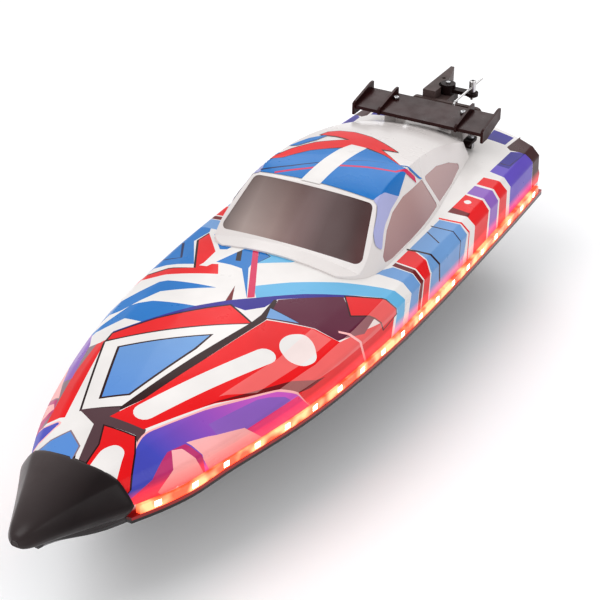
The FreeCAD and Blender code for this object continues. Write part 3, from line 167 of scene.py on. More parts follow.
# ---------------------------------------------------------------- shader helpers
class Shader:
    """Builds one Principled material with noise-driven colour, roughness and bump."""

    def __init__(self, name, colour, roughness=0.4, metallic=0.0):
        self.material = bpy.data.materials.new(name)
        self.material.use_nodes = True
        self.tree = self.material.node_tree
        self.main = self.tree.nodes["Principled BSDF"]
        self.main.inputs["Base Color"].default_value = colour
        self.main.inputs["Roughness"].default_value = roughness
        self.main.inputs["Metallic"].default_value = metallic
        self.place = self.add("ShaderNodeTexCoord").outputs["Object"]

    def add(self, kind, **settings):
        node = self.tree.nodes.new(kind)
        for key, value in settings.items():
            setattr(node, key, value)
        return node

    def link(self, source, target):
        self.tree.links.new(source, target)

    def set(self, **values):
        for key, value in values.items():
            self.main.inputs[key.replace("_", " ")].default_value = value
        return self

    def noise(self, scale, detail=3.0):
        node = self.add("ShaderNodeTexNoise")
        node.inputs["Scale"].default_value = scale
        node.inputs["Detail"].default_value = detail
        self.link(self.place, node.inputs["Vector"])
        return node.outputs["Fac"]

    def ranged(self, value, low, high, from_low=0.3, from_high=0.7):
        """A value between from_low and from_high, mapped to low and high."""
        node = self.add("ShaderNodeMapRange")
        node.inputs["From Min"].default_value = from_low
        node.inputs["From Max"].default_value = from_high
        node.inputs["To Min"].default_value = low
        node.inputs["To Max"].default_value = high
        self.link(value, node.inputs["Value"])
        return node.outputs["Result"]

    def ramp(self, value, stops):
        node = self.add("ShaderNodeValToRGB")
        elements = node.color_ramp.elements
        while len(elements) < len(stops):
            elements.new(0.5)
        for element, (position, colour) in zip(elements, stops):
            element.position = position
            element.color = colour
        self.link(value, node.inputs["Fac"])
        return node.outputs["Color"]

    def mixed(self, factor, first, second):
        """Mix of two colours, each a plain colour or another node's output."""
        node = self.add("ShaderNodeMix", data_type="RGBA")
        for socket, value in ((node.inputs[6], first), (node.inputs[7], second)):
            if isinstance(value, tuple):
                socket.default_value = value
            else:
                self.link(value, socket)
        self.link(factor, node.inputs[0])
        return node.outputs[2]

    def tint(self, colour, other, scale, low=0.35, high=0.65, detail=3.0):
        """Base colour that drifts between two colours."""
        share = self.ranged(self.noise(scale, detail), 0.0, 1.0, low, high)
        mix = self.mixed(share, colour, other)
        self.link(mix, self.main.inputs["Base Color"])
        return mix

    def rough(self, low, high, scale, detail=4.0):
        """Roughness that drifts between two values."""
        self.link(self.ranged(self.noise(scale, detail), low, high), self.main.inputs["Roughness"])
        return self

    def bump(self, height, distance, strength=1.0):
        node = self.add("ShaderNodeBump")
        node.inputs["Strength"].default_value = strength
        node.inputs["Distance"].default_value = distance
        self.link(height, node.inputs["Height"])
        self.link(node.outputs["Normal"], self.main.inputs["Normal"])
        return self

    def axis(self, name):
        """One coordinate of the piece's own frame, in metres."""
        split = self.add("ShaderNodeSeparateXYZ")
        self.link(self.place, split.inputs["Vector"])
        return split.outputs[name]


def scaled(colour, factor):
    return tuple(min(1.0, channel * factor) for channel in colour[:3]) + (1.0,)


def blended(first, second, share):
    return tuple(a + (b - a) * share for a, b in zip(first, second))


# ---------------------------------------------------------------- materials
def film_paint(name, colour, gradient=None):
    """Printed film under clear coat, with the strip's red light fading up from its lower edge."""
    shader = Shader(name, colour, 0.3)
    base = shader.tint(scaled(colour, 0.93), scaled(colour, 1.04), 26.0)
    if gradient:
        axis, start, end, other = gradient
        share = shader.ranged(shader.axis(axis), 0.0, 1.0, start * MM, end * MM)
        base = shader.mixed(share, base, other)
    height = shader.axis("Z")
    share = shader.ranged(height, GLOW_MIX, 0.0, GLOW_LOW * MM, GLOW_TOP * MM)
    base = shader.mixed(share, base, linear(255, 84, 96))
    shader.link(base, shader.main.inputs["Base Color"])
    shader.main.inputs["Emission Color"].default_value = linear(255, 52, 62)
    shader.link(shader.ranged(height, GLOW_POWER, 0.0, GLOW_LOW * MM, GLOW_TOP * MM),
                shader.main.inputs["Emission Strength"])
    shader.rough(0.26, 0.38, 60.0)
    shader.set(Specular_IOR_Level=0.16, Coat_Weight=0.14, Coat_Roughness=0.07)
    return shader.bump(shader.noise(900.0, 2.0), 0.00002, 0.5).material


def gloss_shader(name, colour):
    """Smooth painted plastic. Returns its shader and its base colour, which can be painted over."""
    shader = Shader(name, colour)
    base = shader.tint(scaled(colour, 0.955), colour, 18.0)
    shader.rough(0.25, 0.36, 45.0)
    shader.set(Specular_IOR_Level=0.35, Coat_Weight=0.3, Coat_Roughness=0.1)
    shader.bump(shader.noise(800.0, 2.0), 0.00002, 0.5)
    return shader, base


def gloss_shell(name, colour):
    return gloss_shader(name, colour)[0].material


def deck_shell_paint(name, colour):
    """White shell, with the strip's red light painted on its flange and painted shade under the nose cap.
    """
    shader, base = gloss_shader(name, colour)
    low = shader.ranged(shader.axis("Z"), 1.0, 0.0, FLANGE_LIT[0] * MM, FLANGE_LIT[1] * MM)
    base = shader.mixed(low, base, linear(150, 20, 24))
    # painted shade: the shell turns near black ahead of the nose cap's rear edge, where the cap shades it
    nose_cap_shade = shader.ranged(shader.axis("Y"), 1.0, 0.0, NOSE_EDGE_Y[0] * MM, NOSE_EDGE_Y[1] * MM)
    base = shader.mixed(nose_cap_shade, base, linear(24, 12, 14))
    shader.link(base, shader.main.inputs["Base Color"])
    return shader.material


def nose_rubber(name):
    """Smooth dark rubber, with a painted grey sheen on its starboard side."""
    shader = Shader(name, linear(30, 14, 16))
    # painted sheen: the rubber is lighter grey to starboard
    starboard_sheen = shader.ranged(shader.axis("X"), 1.0, 0.0, -16.0 * MM, 16.0 * MM)
    base = shader.mixed(starboard_sheen, linear(18, 6, 8), linear(80, 71, 71))
    drift = shader.ranged(shader.noise(60.0, 5.0), 0.0, 0.35)
    base = shader.mixed(drift, base, linear(40, 26, 27))
    shader.link(base, shader.main.inputs["Base Color"])
    shader.rough(0.3, 0.42, 80.0)
    shader.set(Specular_IOR_Level=0.25, Coat_Weight=0.06, Coat_Roughness=0.2)
    return shader.bump(shader.noise(700.0, 4.0), 0.00004, 0.5).material


def moulded(name, colour, low=0.38, high=0.55, grain=1400.0, depth=0.00005, coat=0.0):
    """Moulded plastic with a fine grain and slight wear on the colour."""
    shader = Shader(name, colour)
    shader.tint(scaled(colour, 0.86), scaled(colour, 1.22), 55.0, detail=5.0)
    shader.rough(low, high, 140.0)
    shader.set(Specular_IOR_Level=0.22, Coat_Weight=coat, Coat_Roughness=0.15)
    return shader.bump(shader.noise(grain, 3.0), depth, 0.6).material


def rubber(name, colour, low=0.42, high=0.6):
    shader = Shader(name, colour)
    shader.tint(scaled(colour, 0.8), scaled(colour, 1.25), 40.0, detail=6.0)
    shader.rough(low, high, 90.0)
    shader.set(Sheen_Weight=0.15, Sheen_Roughness=0.5)
    return shader.bump(shader.noise(700.0, 5.0), 0.00008, 0.6).material


def metal(name, colour, low=0.16, high=0.34, scale=400.0):
    shader = Shader(name, colour, 0.25, 1.0)
    shader.tint(scaled(colour, 0.85), colour, 60.0)
    shader.rough(low, high, scale)
    return shader.bump(shader.noise(scale * 2.0), 0.00002, 0.4).material


def painted_metal(name, colour):
    shader = Shader(name, colour, 0.35, 0.6)
    shader.tint(scaled(colour, 0.8), scaled(colour, 1.15), 35.0)
    shader.rough(0.26, 0.42, 120.0)
    return shader.bump(shader.noise(600.0, 3.0), 0.00003, 0.4).material


def tinted_glass(name):
    """Dark tinted panes, lighter grey towards the starboard foot and brown-red to port."""
    shader = Shader(name, linear(90, 60, 60), 0.12)
    across = shader.ranged(shader.axis("X"), 0.0, 1.0, -44.0 * MM, 46.0 * MM)
    rise = shader.ranged(shader.axis("Z"), 0.0, 0.6, 72.0 * MM, 94.0 * MM)
    light = shader.ramp(across, [
        (0.0, linear(122, 110, 107)),
        (0.15, linear(170, 155, 150)),
        (0.35, linear(160, 140, 135)),
        (0.52, linear(112, 82, 80)),
        (0.68, linear(68, 26, 26)),
        (0.85, linear(58, 14, 14)),
        (1.0, linear(84, 38, 38)),
    ])
    base = shader.mixed(rise, light, linear(70, 46, 46))
    drift = shader.ranged(shader.noise(30.0), 0.0, 0.12)
    base = shader.mixed(drift, base, linear(60, 40, 42))
    shader.link(base, shader.main.inputs["Base Color"])
    shader.rough(0.12, 0.2, 70.0)
    shader.set(Specular_IOR_Level=0.3, Coat_Weight=0.15, Coat_Roughness=0.1)
    return shader.bump(shader.noise(40.0, 2.0), 0.00003, 0.4).material


def side_glass(name):
    """Side panes, a little paler towards the roof."""
    shader = Shader(name, linear(150, 112, 110), 0.14)
    rise = shader.ranged(shader.axis("Z"), 0.0, 1.0, 62.0 * MM, 83.0 * MM)
    base = shader.ramp(rise, [(0.0, linear(150, 108, 108)), (1.0, linear(170, 130, 126))])
    shader.link(base, shader.main.inputs["Base Color"])
    shader.rough(0.08, 0.16, 70.0)
    shader.set(Coat_Weight=0.7, Coat_Roughness=0.06)
    return shader.bump(shader.noise(40.0, 2.0), 0.00003, 0.4).material


def clear_plastic(name):
    """Clear lens that lets most light through."""
    shader = Shader(name, linear(225, 230, 232), 0.12)
    shader.tint(linear(214, 222, 226), linear(238, 242, 244), 30.0)
    shader.rough(0.08, 0.18, 60.0)
    shader.set(Transmission_Weight=0.85, IOR=1.46)
    return shader.bump(shader.noise(200.0, 2.0), 0.00002, 0.3).material


def glowing_strip(name):
    """Clear orange strip, brightest near the lamps inside it."""
    shader = Shader(name, linear(255, 120, 90), 0.25)
    share = shader.ranged(shader.noise(95.0, 1.0), 0.0, 1.0, 0.4, 0.62)
    light = shader.mixed(share, linear(255, 84, 52), linear(255, 150, 104))
    shader.link(light, shader.main.inputs["Emission Color"])
    shader.link(light, shader.main.inputs["Base Color"])
    shader.link(shader.ranged(share, 0.9, 1.5, 0.0, 1.0), shader.main.inputs["Emission Strength"])
    return shader.bump(shader.noise(500.0, 2.0), 0.00004, 0.5).material


def lamp_light(name):
    """Bright warm lamps inside the strip."""
    shader = Shader(name, linear(255, 214, 170), 0.3)
    share = shader.ranged(shader.noise(600.0, 1.0), 0.0, 1.0)
    light = shader.mixed(share, linear(255, 206, 150), linear(255, 238, 214))
    shader.link(light, shader.main.inputs["Emission Color"])
    shader.set(Emission_Strength=7.0)
    return shader.bump(shader.noise(900.0, 2.0), 0.00002, 0.3).material


def webbing(name):
    """Woven strap."""
    shader = Shader(name, linear(30, 30, 34), 0.8)
    wave = shader.add("ShaderNodeTexWave", wave_type="BANDS", bands_direction="Y")
    wave.inputs["Scale"].default_value = 500.0
    shader.link(shader.place, wave.inputs["Vector"])
    shader.tint(linear(24, 24, 28), linear(46, 46, 52), 300.0)
    shader.rough(0.7, 0.9, 200.0)
    return shader.bump(wave.outputs["Fac"], 0.0002, 0.8).material


def battery_wrap(name):
    shader = Shader(name, linear(38, 70, 150), 0.3)
    shader.tint(linear(30, 58, 132), linear(54, 92, 180), 70.0)
    shader.rough(0.2, 0.4, 90.0)
    shader.set(Coat_Weight=0.4, Coat_Roughness=0.12)
    return shader.bump(shader.noise(120.0, 4.0), 0.0003, 0.6).material


def slot_materials():
    """One material for every slot of the record."""
    return {
        "deck_paint": deck_shell_paint("deck_paint", linear(*LIVERY["white"])),
        "hull_black": gloss_shell("hull_black", linear(22, 16, 18)),
        "bumper_rubber": nose_rubber("bumper_rubber"),
        "cabin_paint": gloss_shell("cabin_paint", linear(222, 216, 214)),
        "tinted_glass": tinted_glass("tinted_glass"),
        "dark_plastic": moulded("dark_plastic", linear(32, 18, 18)),
        "grey_plastic": moulded("grey_plastic", linear(78, 64, 62)),
        "wing_plastic": moulded("wing_plastic", linear(46, 14, 13), 0.26, 0.42, coat=0.06),
        "clear_plastic": clear_plastic("clear_plastic"),
        "seal_rubber": rubber("seal_rubber", linear(28, 26, 28), 0.5, 0.7),
        "light_strip": glowing_strip("light_strip"),
        "lamp_glow": lamp_light("lamp_glow"),
        "steel": metal("steel", linear(190, 190, 192), 0.2, 0.38),
        "chrome": metal("chrome", linear(214, 212, 212), 0.05, 0.16),
        "servo_plastic": moulded("servo_plastic", linear(30, 34, 48), 0.3, 0.5),
        "white_plastic": moulded("white_plastic", linear(226, 224, 220)),
        "motor_can": painted_metal("motor_can", linear(120, 122, 128)),
        "anodised": metal("anodised", linear(196, 60, 44), 0.28, 0.42),
        "brass": metal("brass", linear(206, 164, 88), 0.18, 0.34),
        "propeller_plastic": moulded("propeller_plastic", linear(176, 36, 34), 0.22, 0.36, coat=0.3),
        "battery_wrap": battery_wrap("battery_wrap"),
        "strap_fabric": webbing("strap_fabric"),
        "control_plastic": moulded("control_plastic", linear(52, 56, 62)),
        "silicone": rubber("silicone", linear(206, 96, 60), 0.3, 0.45),
    }


def paint(piece, material):
    piece.data.materials.clear()
    piece.data.materials.append(material)


def dress_frame(materials):
    """Gives every CAD node the material of its slot."""
    for part in frame["record"]["subparts"]:
        paint(frame["nodes"][part["node"]], materials[part["material_slot"]])
    glass = side_glass("side_glass")
    for side in ("port", "starboard"):
        paint(frame["nodes"]["side_window_" + side], glass)


# ---------------------------------------------------------------- deck surface
def blend_rows(low, high, share):
    """A mix of two sections, number by number."""
    if isinstance(low, tuple):
        return tuple(blend_rows(a, b, share) for a, b in zip(low, high))
    return low + (high - low) * share


def line_row(low, high, y):
    return blend_rows(low, high, (y - low[0]) / (high[0] - low[0]))


def curve_row(first, middle, last, y):
    """The section at y on a smooth curve through three sections."""
    share = (y - first[0]) / (last[0] - first[0])
    return blend_rows(line_row(first, middle, y), line_row(middle, last, y), share)


def station_at(y):
    """The deck section at y, on smooth curves through the stations."""
    here = 0
    while here < len(STATIONS) - 2 and y > STATIONS[here + 1][0]:
        here += 1
    low, high = STATIONS[here], STATIONS[here + 1]
    if here == 0:
        return curve_row(low, high, STATIONS[2], y)
    before = curve_row(STATIONS[here - 1], low, high, y)
    if here == len(STATIONS) - 2:
        return before
    after = curve_row(low, high, STATIONS[here + 2], y)
    return blend_rows(before, after, (y - low[0]) / (high[0] - low[0]))


def deck_point(across, y):
    """A point of the deck. across is x as far as the lower ridge, then the distance down the side."""
    _, seam, low_edge, high_edge, top_edge, crown = station_at(y)
    reach = abs(across)
    if reach <= top_edge[0]:
        rise = crown - top_edge[1]
        radius = (top_edge[0] ** 2 + rise ** 2) / (2 * rise)
        x, z = reach, crown - radius + math.sqrt(radius ** 2 - reach ** 2)
    elif reach <= low_edge[0]:
        inner, outer = (top_edge, high_edge) if reach <= high_edge[0] else (high_edge, low_edge)
        share = (reach - inner[0]) / (outer[0] - inner[0])
        x, z = reach, inner[1] + (outer[1] - inner[1]) * share
    else:
        length = math.hypot(low_edge[0] - seam, low_edge[1] - SEAM_Z)
        share = (reach - low_edge[0]) / length
        x = low_edge[0] + (seam - low_edge[0]) * share
        z = low_edge[1] + (SEAM_Z - low_edge[1]) * share
    return Vector((math.copysign(x, across), y, z))


def side_limit(y):
    """How far across the film runs at y: down the side to just above the light strip."""
    _, seam, low_edge, _, _, _ = station_at(y)
    drop = low_edge[1] - FILM_LOW_Z
    slope = (low_edge[0] - seam) / (low_edge[1] - SEAM_Z)
    return low_edge[0] + math.hypot(drop, drop * slope)


def deck_normal(across, y):
    """The deck's outward direction, evened out over the width of a ridge's rounding."""
    along = deck_point(across, y + 1.0) - deck_point(across, y - 1.0)
    girth = deck_point(across + SOFT_EDGE, y) - deck_point(across - SOFT_EDGE, y)
    return girth.cross(along).normalized()


# ---------------------------------------------------------------- flat outlines
def grown(points, width):
    """An outline moved outwards by width, with mitred corners."""
    area = sum(a[0] * b[1] - b[0] * a[1] for a, b in zip(points, points[1:] + points[:1]))
    side = 1.0 if area > 0 else -1.0
    result = []
    for index, here in enumerate(points):
        before = Vector(points[index - 1])
        after = Vector(points[(index + 1) % len(points)])
        here = Vector(here)
        first = (here - before).normalized()
        second = (after - here).normalized()
        out_first = Vector((first.y, -first.x)) * side
        out_second = Vector((second.y, -second.x)) * side
        corner = (out_first + out_second)
        scale = min(2.0, 2.0 / max(0.3, corner.length_squared))
        result.append(tuple(here + corner * (width * scale)))
    return result


def rounded(points, radius, steps=4):
    """An outline with its corners replaced by curves."""
    result = []
    for index, here in enumerate(points):
        here = Vector(here)
        before = Vector(points[index - 1])
        after = Vector(points[(index + 1) % len(points)])
        cut_in = min(radius, (here - before).length * 0.45)
        cut_out = min(radius, (after - here).length * 0.45)
        start = here + (before - here).normalized() * cut_in
        end = here + (after - here).normalized() * cut_out
        for step in range(steps + 1):
            t = step / steps
            result.append(tuple(start * (1 - t) ** 2 + here * (2 * t * (1 - t)) + end * t ** 2))
    return result


def capsule(start, end, radius, steps=8):
    """A rounded bar between two centres."""
    start, end = Vector(start), Vector(end)
    heading = math.atan2(end.y - start.y, end.x - start.x)
    points = []
    for centre, first in ((end, heading - math.pi / 2), (start, heading + math.pi / 2)):
        for step in range(steps + 1):
            angle = first + math.pi * step / steps
            points.append((centre.x + radius * math.cos(angle), centre.y + radius * math.sin(angle)))
    return points


def stroke(points, width, taper=False):
    """A line of even width, or one that thins to a point at its end."""
    left, right = [], []
    for index, here in enumerate(points):
        before = Vector(points[max(0, index - 1)])
        after = Vector(points[min(len(points) - 1, index + 1)])
        along = (after - before).normalized()
        share = 1.0 - index / (len(points) - 1) if taper else 1.0
        offset = Vector((along.y, -along.x)) * (width / 2 * max(0.08, share))
        left.append(tuple(Vector(here) + offset))
        right.append(tuple(Vector(here) - offset))
    return left + right[::-1]


def flipped(points):
    """The same outline on the other side of the boat."""
    return [(-x, y) for x, y in points]


def inside(point, outline):
    """Whether a point lies within an outline."""
    x, y = point
    hit = False
    for (ax, ay), (bx, by) in zip(outline, outline[1:] + outline[:1]):
        if (ay > y) != (by > y) and x < (bx - ax) * (y - ay) / (by - ay) + ax:
            hit = not hit
    return hit


def divided(points, pitch):
    """An outline with no step longer than pitch."""
    result = []
    for here, after in zip(points, points[1:] + points[:1]):
        count = max(1, math.ceil(math.dist(here, after) / pitch))
        for step in range(count):
            share = step / count
            result.append((here[0] + (after[0] - here[0]) * share, here[1] + (after[1] - here[1]) * share))
    return result


# ---------------------------------------------------------------- livery of the deck
class Pattern:
    """Coloured outlines painted one over another; painted highlights lighten what lies below them."""

    def __init__(self):
        self.panels = []
        self.painted_highlights = []

    def put(self, colour, points, line=0.0, line_colour="black"):
        if line:
            self.panels.append((line_colour, grown(points, line)))
        self.panels.append((colour, points))

    def both(self, colour, points, line=0.0, line_colour="black"):
        self.put(colour, points, line, line_colour)
        self.put(colour, flipped(points), line, line_colour)

    def add_painted_highlight(self, points):
        self.painted_highlights.append(points)

    def colour_at(self, point, base="white"):
        found = base
        for colour, outline in self.panels:
            if inside(point, outline):
                found = colour
        # faces under a painted highlight take the lighter copy of their colour
        if any(inside(point, outline) for outline in self.painted_highlights):
            found += "_veiled"
        return found

    def outlines(self):
        return [outline for _, outline in self.panels] + self.painted_highlights


def foredeck_pattern(pattern):
    """Starboard half of the foredeck, and the bands that run aft over the port side."""
    # bow strips and the blue fields behind them
    pattern.put("grey", [(-44, -101), (-52, -104), (-66, -112), (-56, -168), (-34, -172), (-31, -163),
        (-40, -128)])
    pattern.put("red", [(-41, -99), (-45, -102), (-41, -128), (-31, -163), (-22, -160), (-28, -140),
        (-36, -114)])
    pattern.put("blue", [(-74, -92), (-56, -83), (-50, -64), (-39, -59), (-9, -57), (-20, -67),
        (-29, -80), (-44, -78), (-54, -88), (-74, -104)])
    pattern.put("blue", [(-80, -76), (-62, -62), (-54, -48), (-48, -39), (-44, -37), (-13, -37),
        (-41, -49), (-46, -58), (-53, -69), (-80, -88)])
    pattern.put("blue", [(-95, 34), (-95, -27), (-64, -23), (-57, -19), (-40, -17), (-58, 11),
        (-55, 23), (-60, 34)])
    pattern.put("navy", stroke([(-69, -13), (-53, -10), (-64, 9)], 1.6))
    pattern.put("red", [(-95, -50), (-95, -36), (-62, -29), (-53, -23), (-37, -21), (-56, 12),
        (-54, 21), (-36, -1), (-35, -16), (-26, -14), (-20, -24), (-51, -31)])
    pattern.put("black", stroke([(-78, -34), (-62, -29.5), (-53, -23.3), (-37, -21), (-56, 12),
        (-54, 21)], 1.3))
    # blue pieces under the windshield
    pattern.put("blue", [(-50, 20), (-35, 2), (-30, 3), (-26, 10), (-44, 20)])
    pattern.put("blue", [(-29, -12), (-25, 12), (-12, 12), (-8, -12), (-11, -14), (-19, -12.5)])
    pattern.put("blue", [(-11, -14), (-8, -12), (7, -39)])
    pattern.put("black", [(-26, 7), (-23.5, 8), (-16, -7), (-19, -7.5)])
    pattern.put("sky", [(-7, -6), (-6, 10), (14, 10), (9, 4)])
    pattern.put("blue", [(-12, 8), (-4, 4), (-7, -6)], 0.5)
    pattern.put("white", [(-36, -18), (-31, -18), (-20, 10), (-29, 10)])
    pattern.put("dark_red", [(-1, -49), (-5, -31), (2, -46)])
    # sky and indigo bands
    pattern.put("sky", [(4, -27), (19, -13), (40, 4), (59, 17), (69, 22), (78, 24), (95, 25),
                        (95, 15), (74, 14), (62, 9), (47, -4), (30, -18), (11, -36)])
    pattern.put("indigo", [(-42, -91), (-27, -73), (-13, -57), (0, -45), (11, -36), (30, -18), (47, -4),
        (63, 9), (62, 6.5), (47, -7), (21, -31), (19, -41), (12, -49), (3, -49), (-8, -59), (-27, -75),
        (-42, -93)])
    pattern.put("crimson", [(-19, 12), (-15.5, 12), (10, -36), (7, -38.5)])


def framed_panel_pattern(pattern):
    """Blue panel in its white and red frames, and the grey wedge ahead of it."""
    pattern.put("red", [(-41, -93), (-26, -75), (-7, -57.5), (3, -49), (20, -57), (-2, -74), (-22, -90),
        (-40, -99)], 1.1)
    pattern.put("white", [(-40, -101), (-9, -79), (20, -58), (11, -94), (0, -144), (-17, -153)], 1.1)
    pattern.put("light_blue", [(-29, -104), (8, -77), (7, -90), (-2, -135), (-13, -142)], 1.3,
        "outline")
    pattern.put("outline", [(19.5, -32), (21, -48), (20, -57), (11, -94), (0, -144), (-7, -148),
        (-2, -153), (7, -135), (16, -96), (25, -51), (25.5, -45), (21.5, -32)])
    pattern.put("white", [(13, -50), (19, -42), (20.5, -50), (20, -54.5)])
    pattern.put("star_grey", [(-18, -153.5), (0, -145), (3, -151), (19, -151.5), (22, -160), (24, -166),
        (17, -157), (4, -158), (5, -168), (6, -182), (2, -182), (-5, -160)])


def port_pattern(pattern):
    """Red field, plum corner, violet panel and the white marks on the port bow."""
    pattern.put("red", [(-1, -152.5), (7, -135), (16, -96), (25.5, -50), (48, -40), (62, -38),
        (68, -10), (72, 11), (95, 12), (95, -60), (81, -67), (61, -81), (54, -90), (34, -124),
        (18, -152)])
    pattern.put("dark_red", [(33, -125), (55, -82), (64, -66), (68, -58), (66, -70), (61, -80.5),
        (54, -89.5)])
    pattern.put("plum", [(21.5, -31), (47, -6), (57, -16), (66, -6), (67, -20), (61, -38), (48, -39.5),
        (25.5, -49)])
    pattern.put("light_blue", [(24.5, -48.5), (22, -40), (40, -41.5)], 0.6)
    pattern.put("red", [(48, -5), (63, 8.5), (74, 13), (76, 0), (66, -6), (57, -16)], 0.9, "outline")
    pattern.put("white", capsule((12, -142), (39, -75), 5.6))
    pattern.put("white", rounded([(39, -60), (40, -53), (46, -47), (53, -49), (60, -58), (57, -67),
        (49, -70), (42, -66)], 4.0))
    pattern.put("pale_pink", stroke([(58, -32), (63, -29), (68, -26), (90, -14)], 1.5))
    # painted highlights: pale bands of light along the port ridges and facets
    pattern.add_painted_highlight([(63.5, 9), (63, -24), (60, -61), (54.5, -89), (61, -80), (69, -46), (73, -12),
        (74, 15)])
    pattern.add_painted_highlight([(36, -114), (45, -72), (47, -41), (58, -39.5), (56, -62), (48, -98)])


def side_panel_pattern(pattern, side):
    """The violet and pink panel of one bow side."""
    def across(points):
        return points if side > 0 else flipped(points)
    top = [(20, -154), (32, -132), (50, -98), (55, -89), (61, -81)]
    if side < 0:
        top = [(38, -168), (47, -140), (58, -108), (66, -84)]
    panel = top + [(81, -67), (96, -57), (96, -184), (30, -184), (21, -163)]
    pattern.put("purple", across(rounded(panel, 4.0)), 1.0, "pale_pink")
    pattern.put("violet", across([(40, -130), (50, -101), (58, -88), (64, -84), (60, -104), (52, -122),
        (45, -131)]))
    pattern.put("pink", across([(53, -117), (63, -80), (81, -66.5), (96, -58), (96, -100), (73, -101)]))
    pattern.put("magenta", across([(34, -184), (33, -155), (37, -146), (48, -142), (62, -139),
        (96, -138), (96, -184)]))
    pattern.put("pale_pink", across([(34, -153), (37, -149), (45, -146), (62, -139), (80, -142),
        (56, -160), (44, -166)]))
    pattern.put("pale_pink", across([(37, -145), (45, -131), (52, -117), (73, -101), (86, -106),
        (62, -136), (48, -142)]))
    if side < 0:
        pattern.put("red", flipped([(61, -80), (66, -84), (81, -67), (96, -57), (96, 12), (73, 12),
            (69, -46)]))
    else:
        pattern.put("red", [(61.5, -80), (81.5, -66), (62, -78)])


def bow_pattern(pattern):
    """Fields just behind the nose cap."""
    pattern.put("light_blue", [(-13, -168), (-3, -175), (-1, -184), (-26, -184), (-21, -179)], 0.8,
        "grey")
    pattern.put("red", [(0.5, -159), (17, -158), (22, -166), (30, -184), (7, -184), (5.5, -170)], 0.8,
        "outline")
    pattern.put("white", rounded([(9, -190), (8, -172), (12, -166), (18, -167), (25, -190)], 3.0))


def aft_bands(pattern):
    """Bands that cross the outer facets, from the cabin aft, the same on both sides."""
    pattern.both("light_blue", [(46, 18), (52, 26), (62, 29.5), (72, 30), (96, 31), (96, 43),
        (75, 40.5), (66, 41), (55, 38)])
    pattern.both("dark_red", [(54, 38.6), (66, 41.6), (75, 41), (96, 43.6), (96, 47), (72, 45),
        (64, 45), (54, 42.5)])
    pattern.both("red", [(54, 43.8), (64, 46.3), (72, 46.3), (96, 48.5), (96, 57), (70, 54), (66, 58),
        (57, 61), (54, 60)])
    pattern.both("light_blue", [(54, 61), (57, 62), (66, 59), (70, 55.5), (96, 58), (96, 103),
        (73, 105), (65, 106), (54, 101)])
    pattern.both("outline", stroke([(53, 59), (58, 62), (65, 65), (70, 66), (84, 70)], 1.6))
    pattern.both("outline", stroke([(54, 84), (64, 79)], 0.9))
    pattern.both("outline", stroke([(53, 91), (65, 96), (73, 96), (88, 98)], 0.9))
    pattern.both("red", stroke([(53, 102), (65, 108), (73, 109), (96, 111)], 1.6))
    pattern.both("red", [(54, 112), (65, 117), (73, 118), (96, 120), (96, 140), (70, 139.5), (64, 141),
        (54, 138)])
    pattern.both("dark_red", [(54, 112), (65, 117), (64.5, 121.5), (54, 119)])
    pattern.both("white", capsule((58, 131), (58.6, 132.5), 1.7))
    pattern.both("violet", [(54, 140), (64, 143.4), (70, 142), (96, 143), (96, 156), (68, 155),
        (64, 156.5), (54, 152)])
    pattern.both("red", [(54, 154.5), (64, 158.8), (68, 157.5), (96, 159), (96, 172), (66, 170),
        (62, 170), (54, 165.5)])
    pattern.both("grape", [(54, 175), (63, 177), (70, 176), (96, 178), (96, 217), (60, 217), (54, 209)])
    pattern.both("indigo", [(54, 186), (61, 189), (61, 216), (54, 209)])
    pattern.both("outline", stroke([(55, 190), (60, 193), (60.5, 210)], 0.9, True))
    pattern.both("rim", [(50, 212), (53, 210), (58, 214), (64, 217), (96, 218), (96, 232), (51, 232)])
    pattern.both("indigo", [(36, 211), (48, 213.5), (48.5, 227), (35, 226)])


def deck_pattern():
    pattern = Pattern()
    foredeck_pattern(pattern)
    framed_panel_pattern(pattern)
    port_pattern(pattern)
    side_panel_pattern(pattern, -1)
    side_panel_pattern(pattern, 1)
    bow_pattern(pattern)
    aft_bands(pattern)
    return pattern


def roof_pattern():
    """Blue roof with red and white marks, and the lavender front pillars."""
    pattern = Pattern()
    pillar = [(36, 49), (40.9, 71), (42.3, 58.5), (43.4, 53), (44.2, 48), (45.8, 42.5),
              (48.5, 36), (46.5, 31.5), (44, 33.5), (42.8, 38), (41.5, 42.5), (39.8, 46.5)]
    pattern.both("lavender", rounded(pillar, 1.5))
    pattern.put("blue", [(-36, 49), (-40.9, 71), (-31, 72), (-20, 79), (-7, 88), (6, 97), (20, 95),
        (33, 89.5), (37, 89), (40.9, 71), (36, 49), (20, 48.4), (0, 48.2), (-20, 48.4)])
    pattern.put("blue", [(-36, 82), (-31, 98), (-23, 109), (-25, 96), (-31, 84)])
    pattern.put("navy", stroke([(-37, 51), (-21, 58), (-8, 66), (4, 74), (15, 82), (26, 87)], 1.4,
        True))
    pattern.put("crimson", stroke([(-27, 49.5), (-11, 58), (4, 68), (19, 75), (34, 81), (40, 95)], 1.8))
    pattern.put("blue", stroke([(32, 89.5), (37, 93), (41, 103)], 0.9))
    pattern.put("red", [(-41, 62), (-36, 69), (-32, 78), (-23, 92), (-8, 105), (-18, 107), (-28, 106),
        (-27, 114), (-22, 119), (-13, 121), (0, 118), (11, 112.5), (23, 106), (14, 102), (34, 89),
        (20, 95.5), (7, 98.5), (-6, 90), (-20, 79), (-31, 66)], 0.6)
    pattern.put("white", [(-8.5, 47), (3.5, 47), (4.2, 60), (5.5, 80), (7, 98), (-3, 98), (-5.5, 88),
        (-7, 72)])
    return pattern


# ---------------------------------------------------------------- film meshes
def triangulate(points, edges):
    """Plane triangulation that keeps all given edges."""
    result = delaunay_2d_cdt([Vector(point) for point in points], edges, [], 0, WELD)
    return [tuple(vert) for vert in result[0]], result[2]


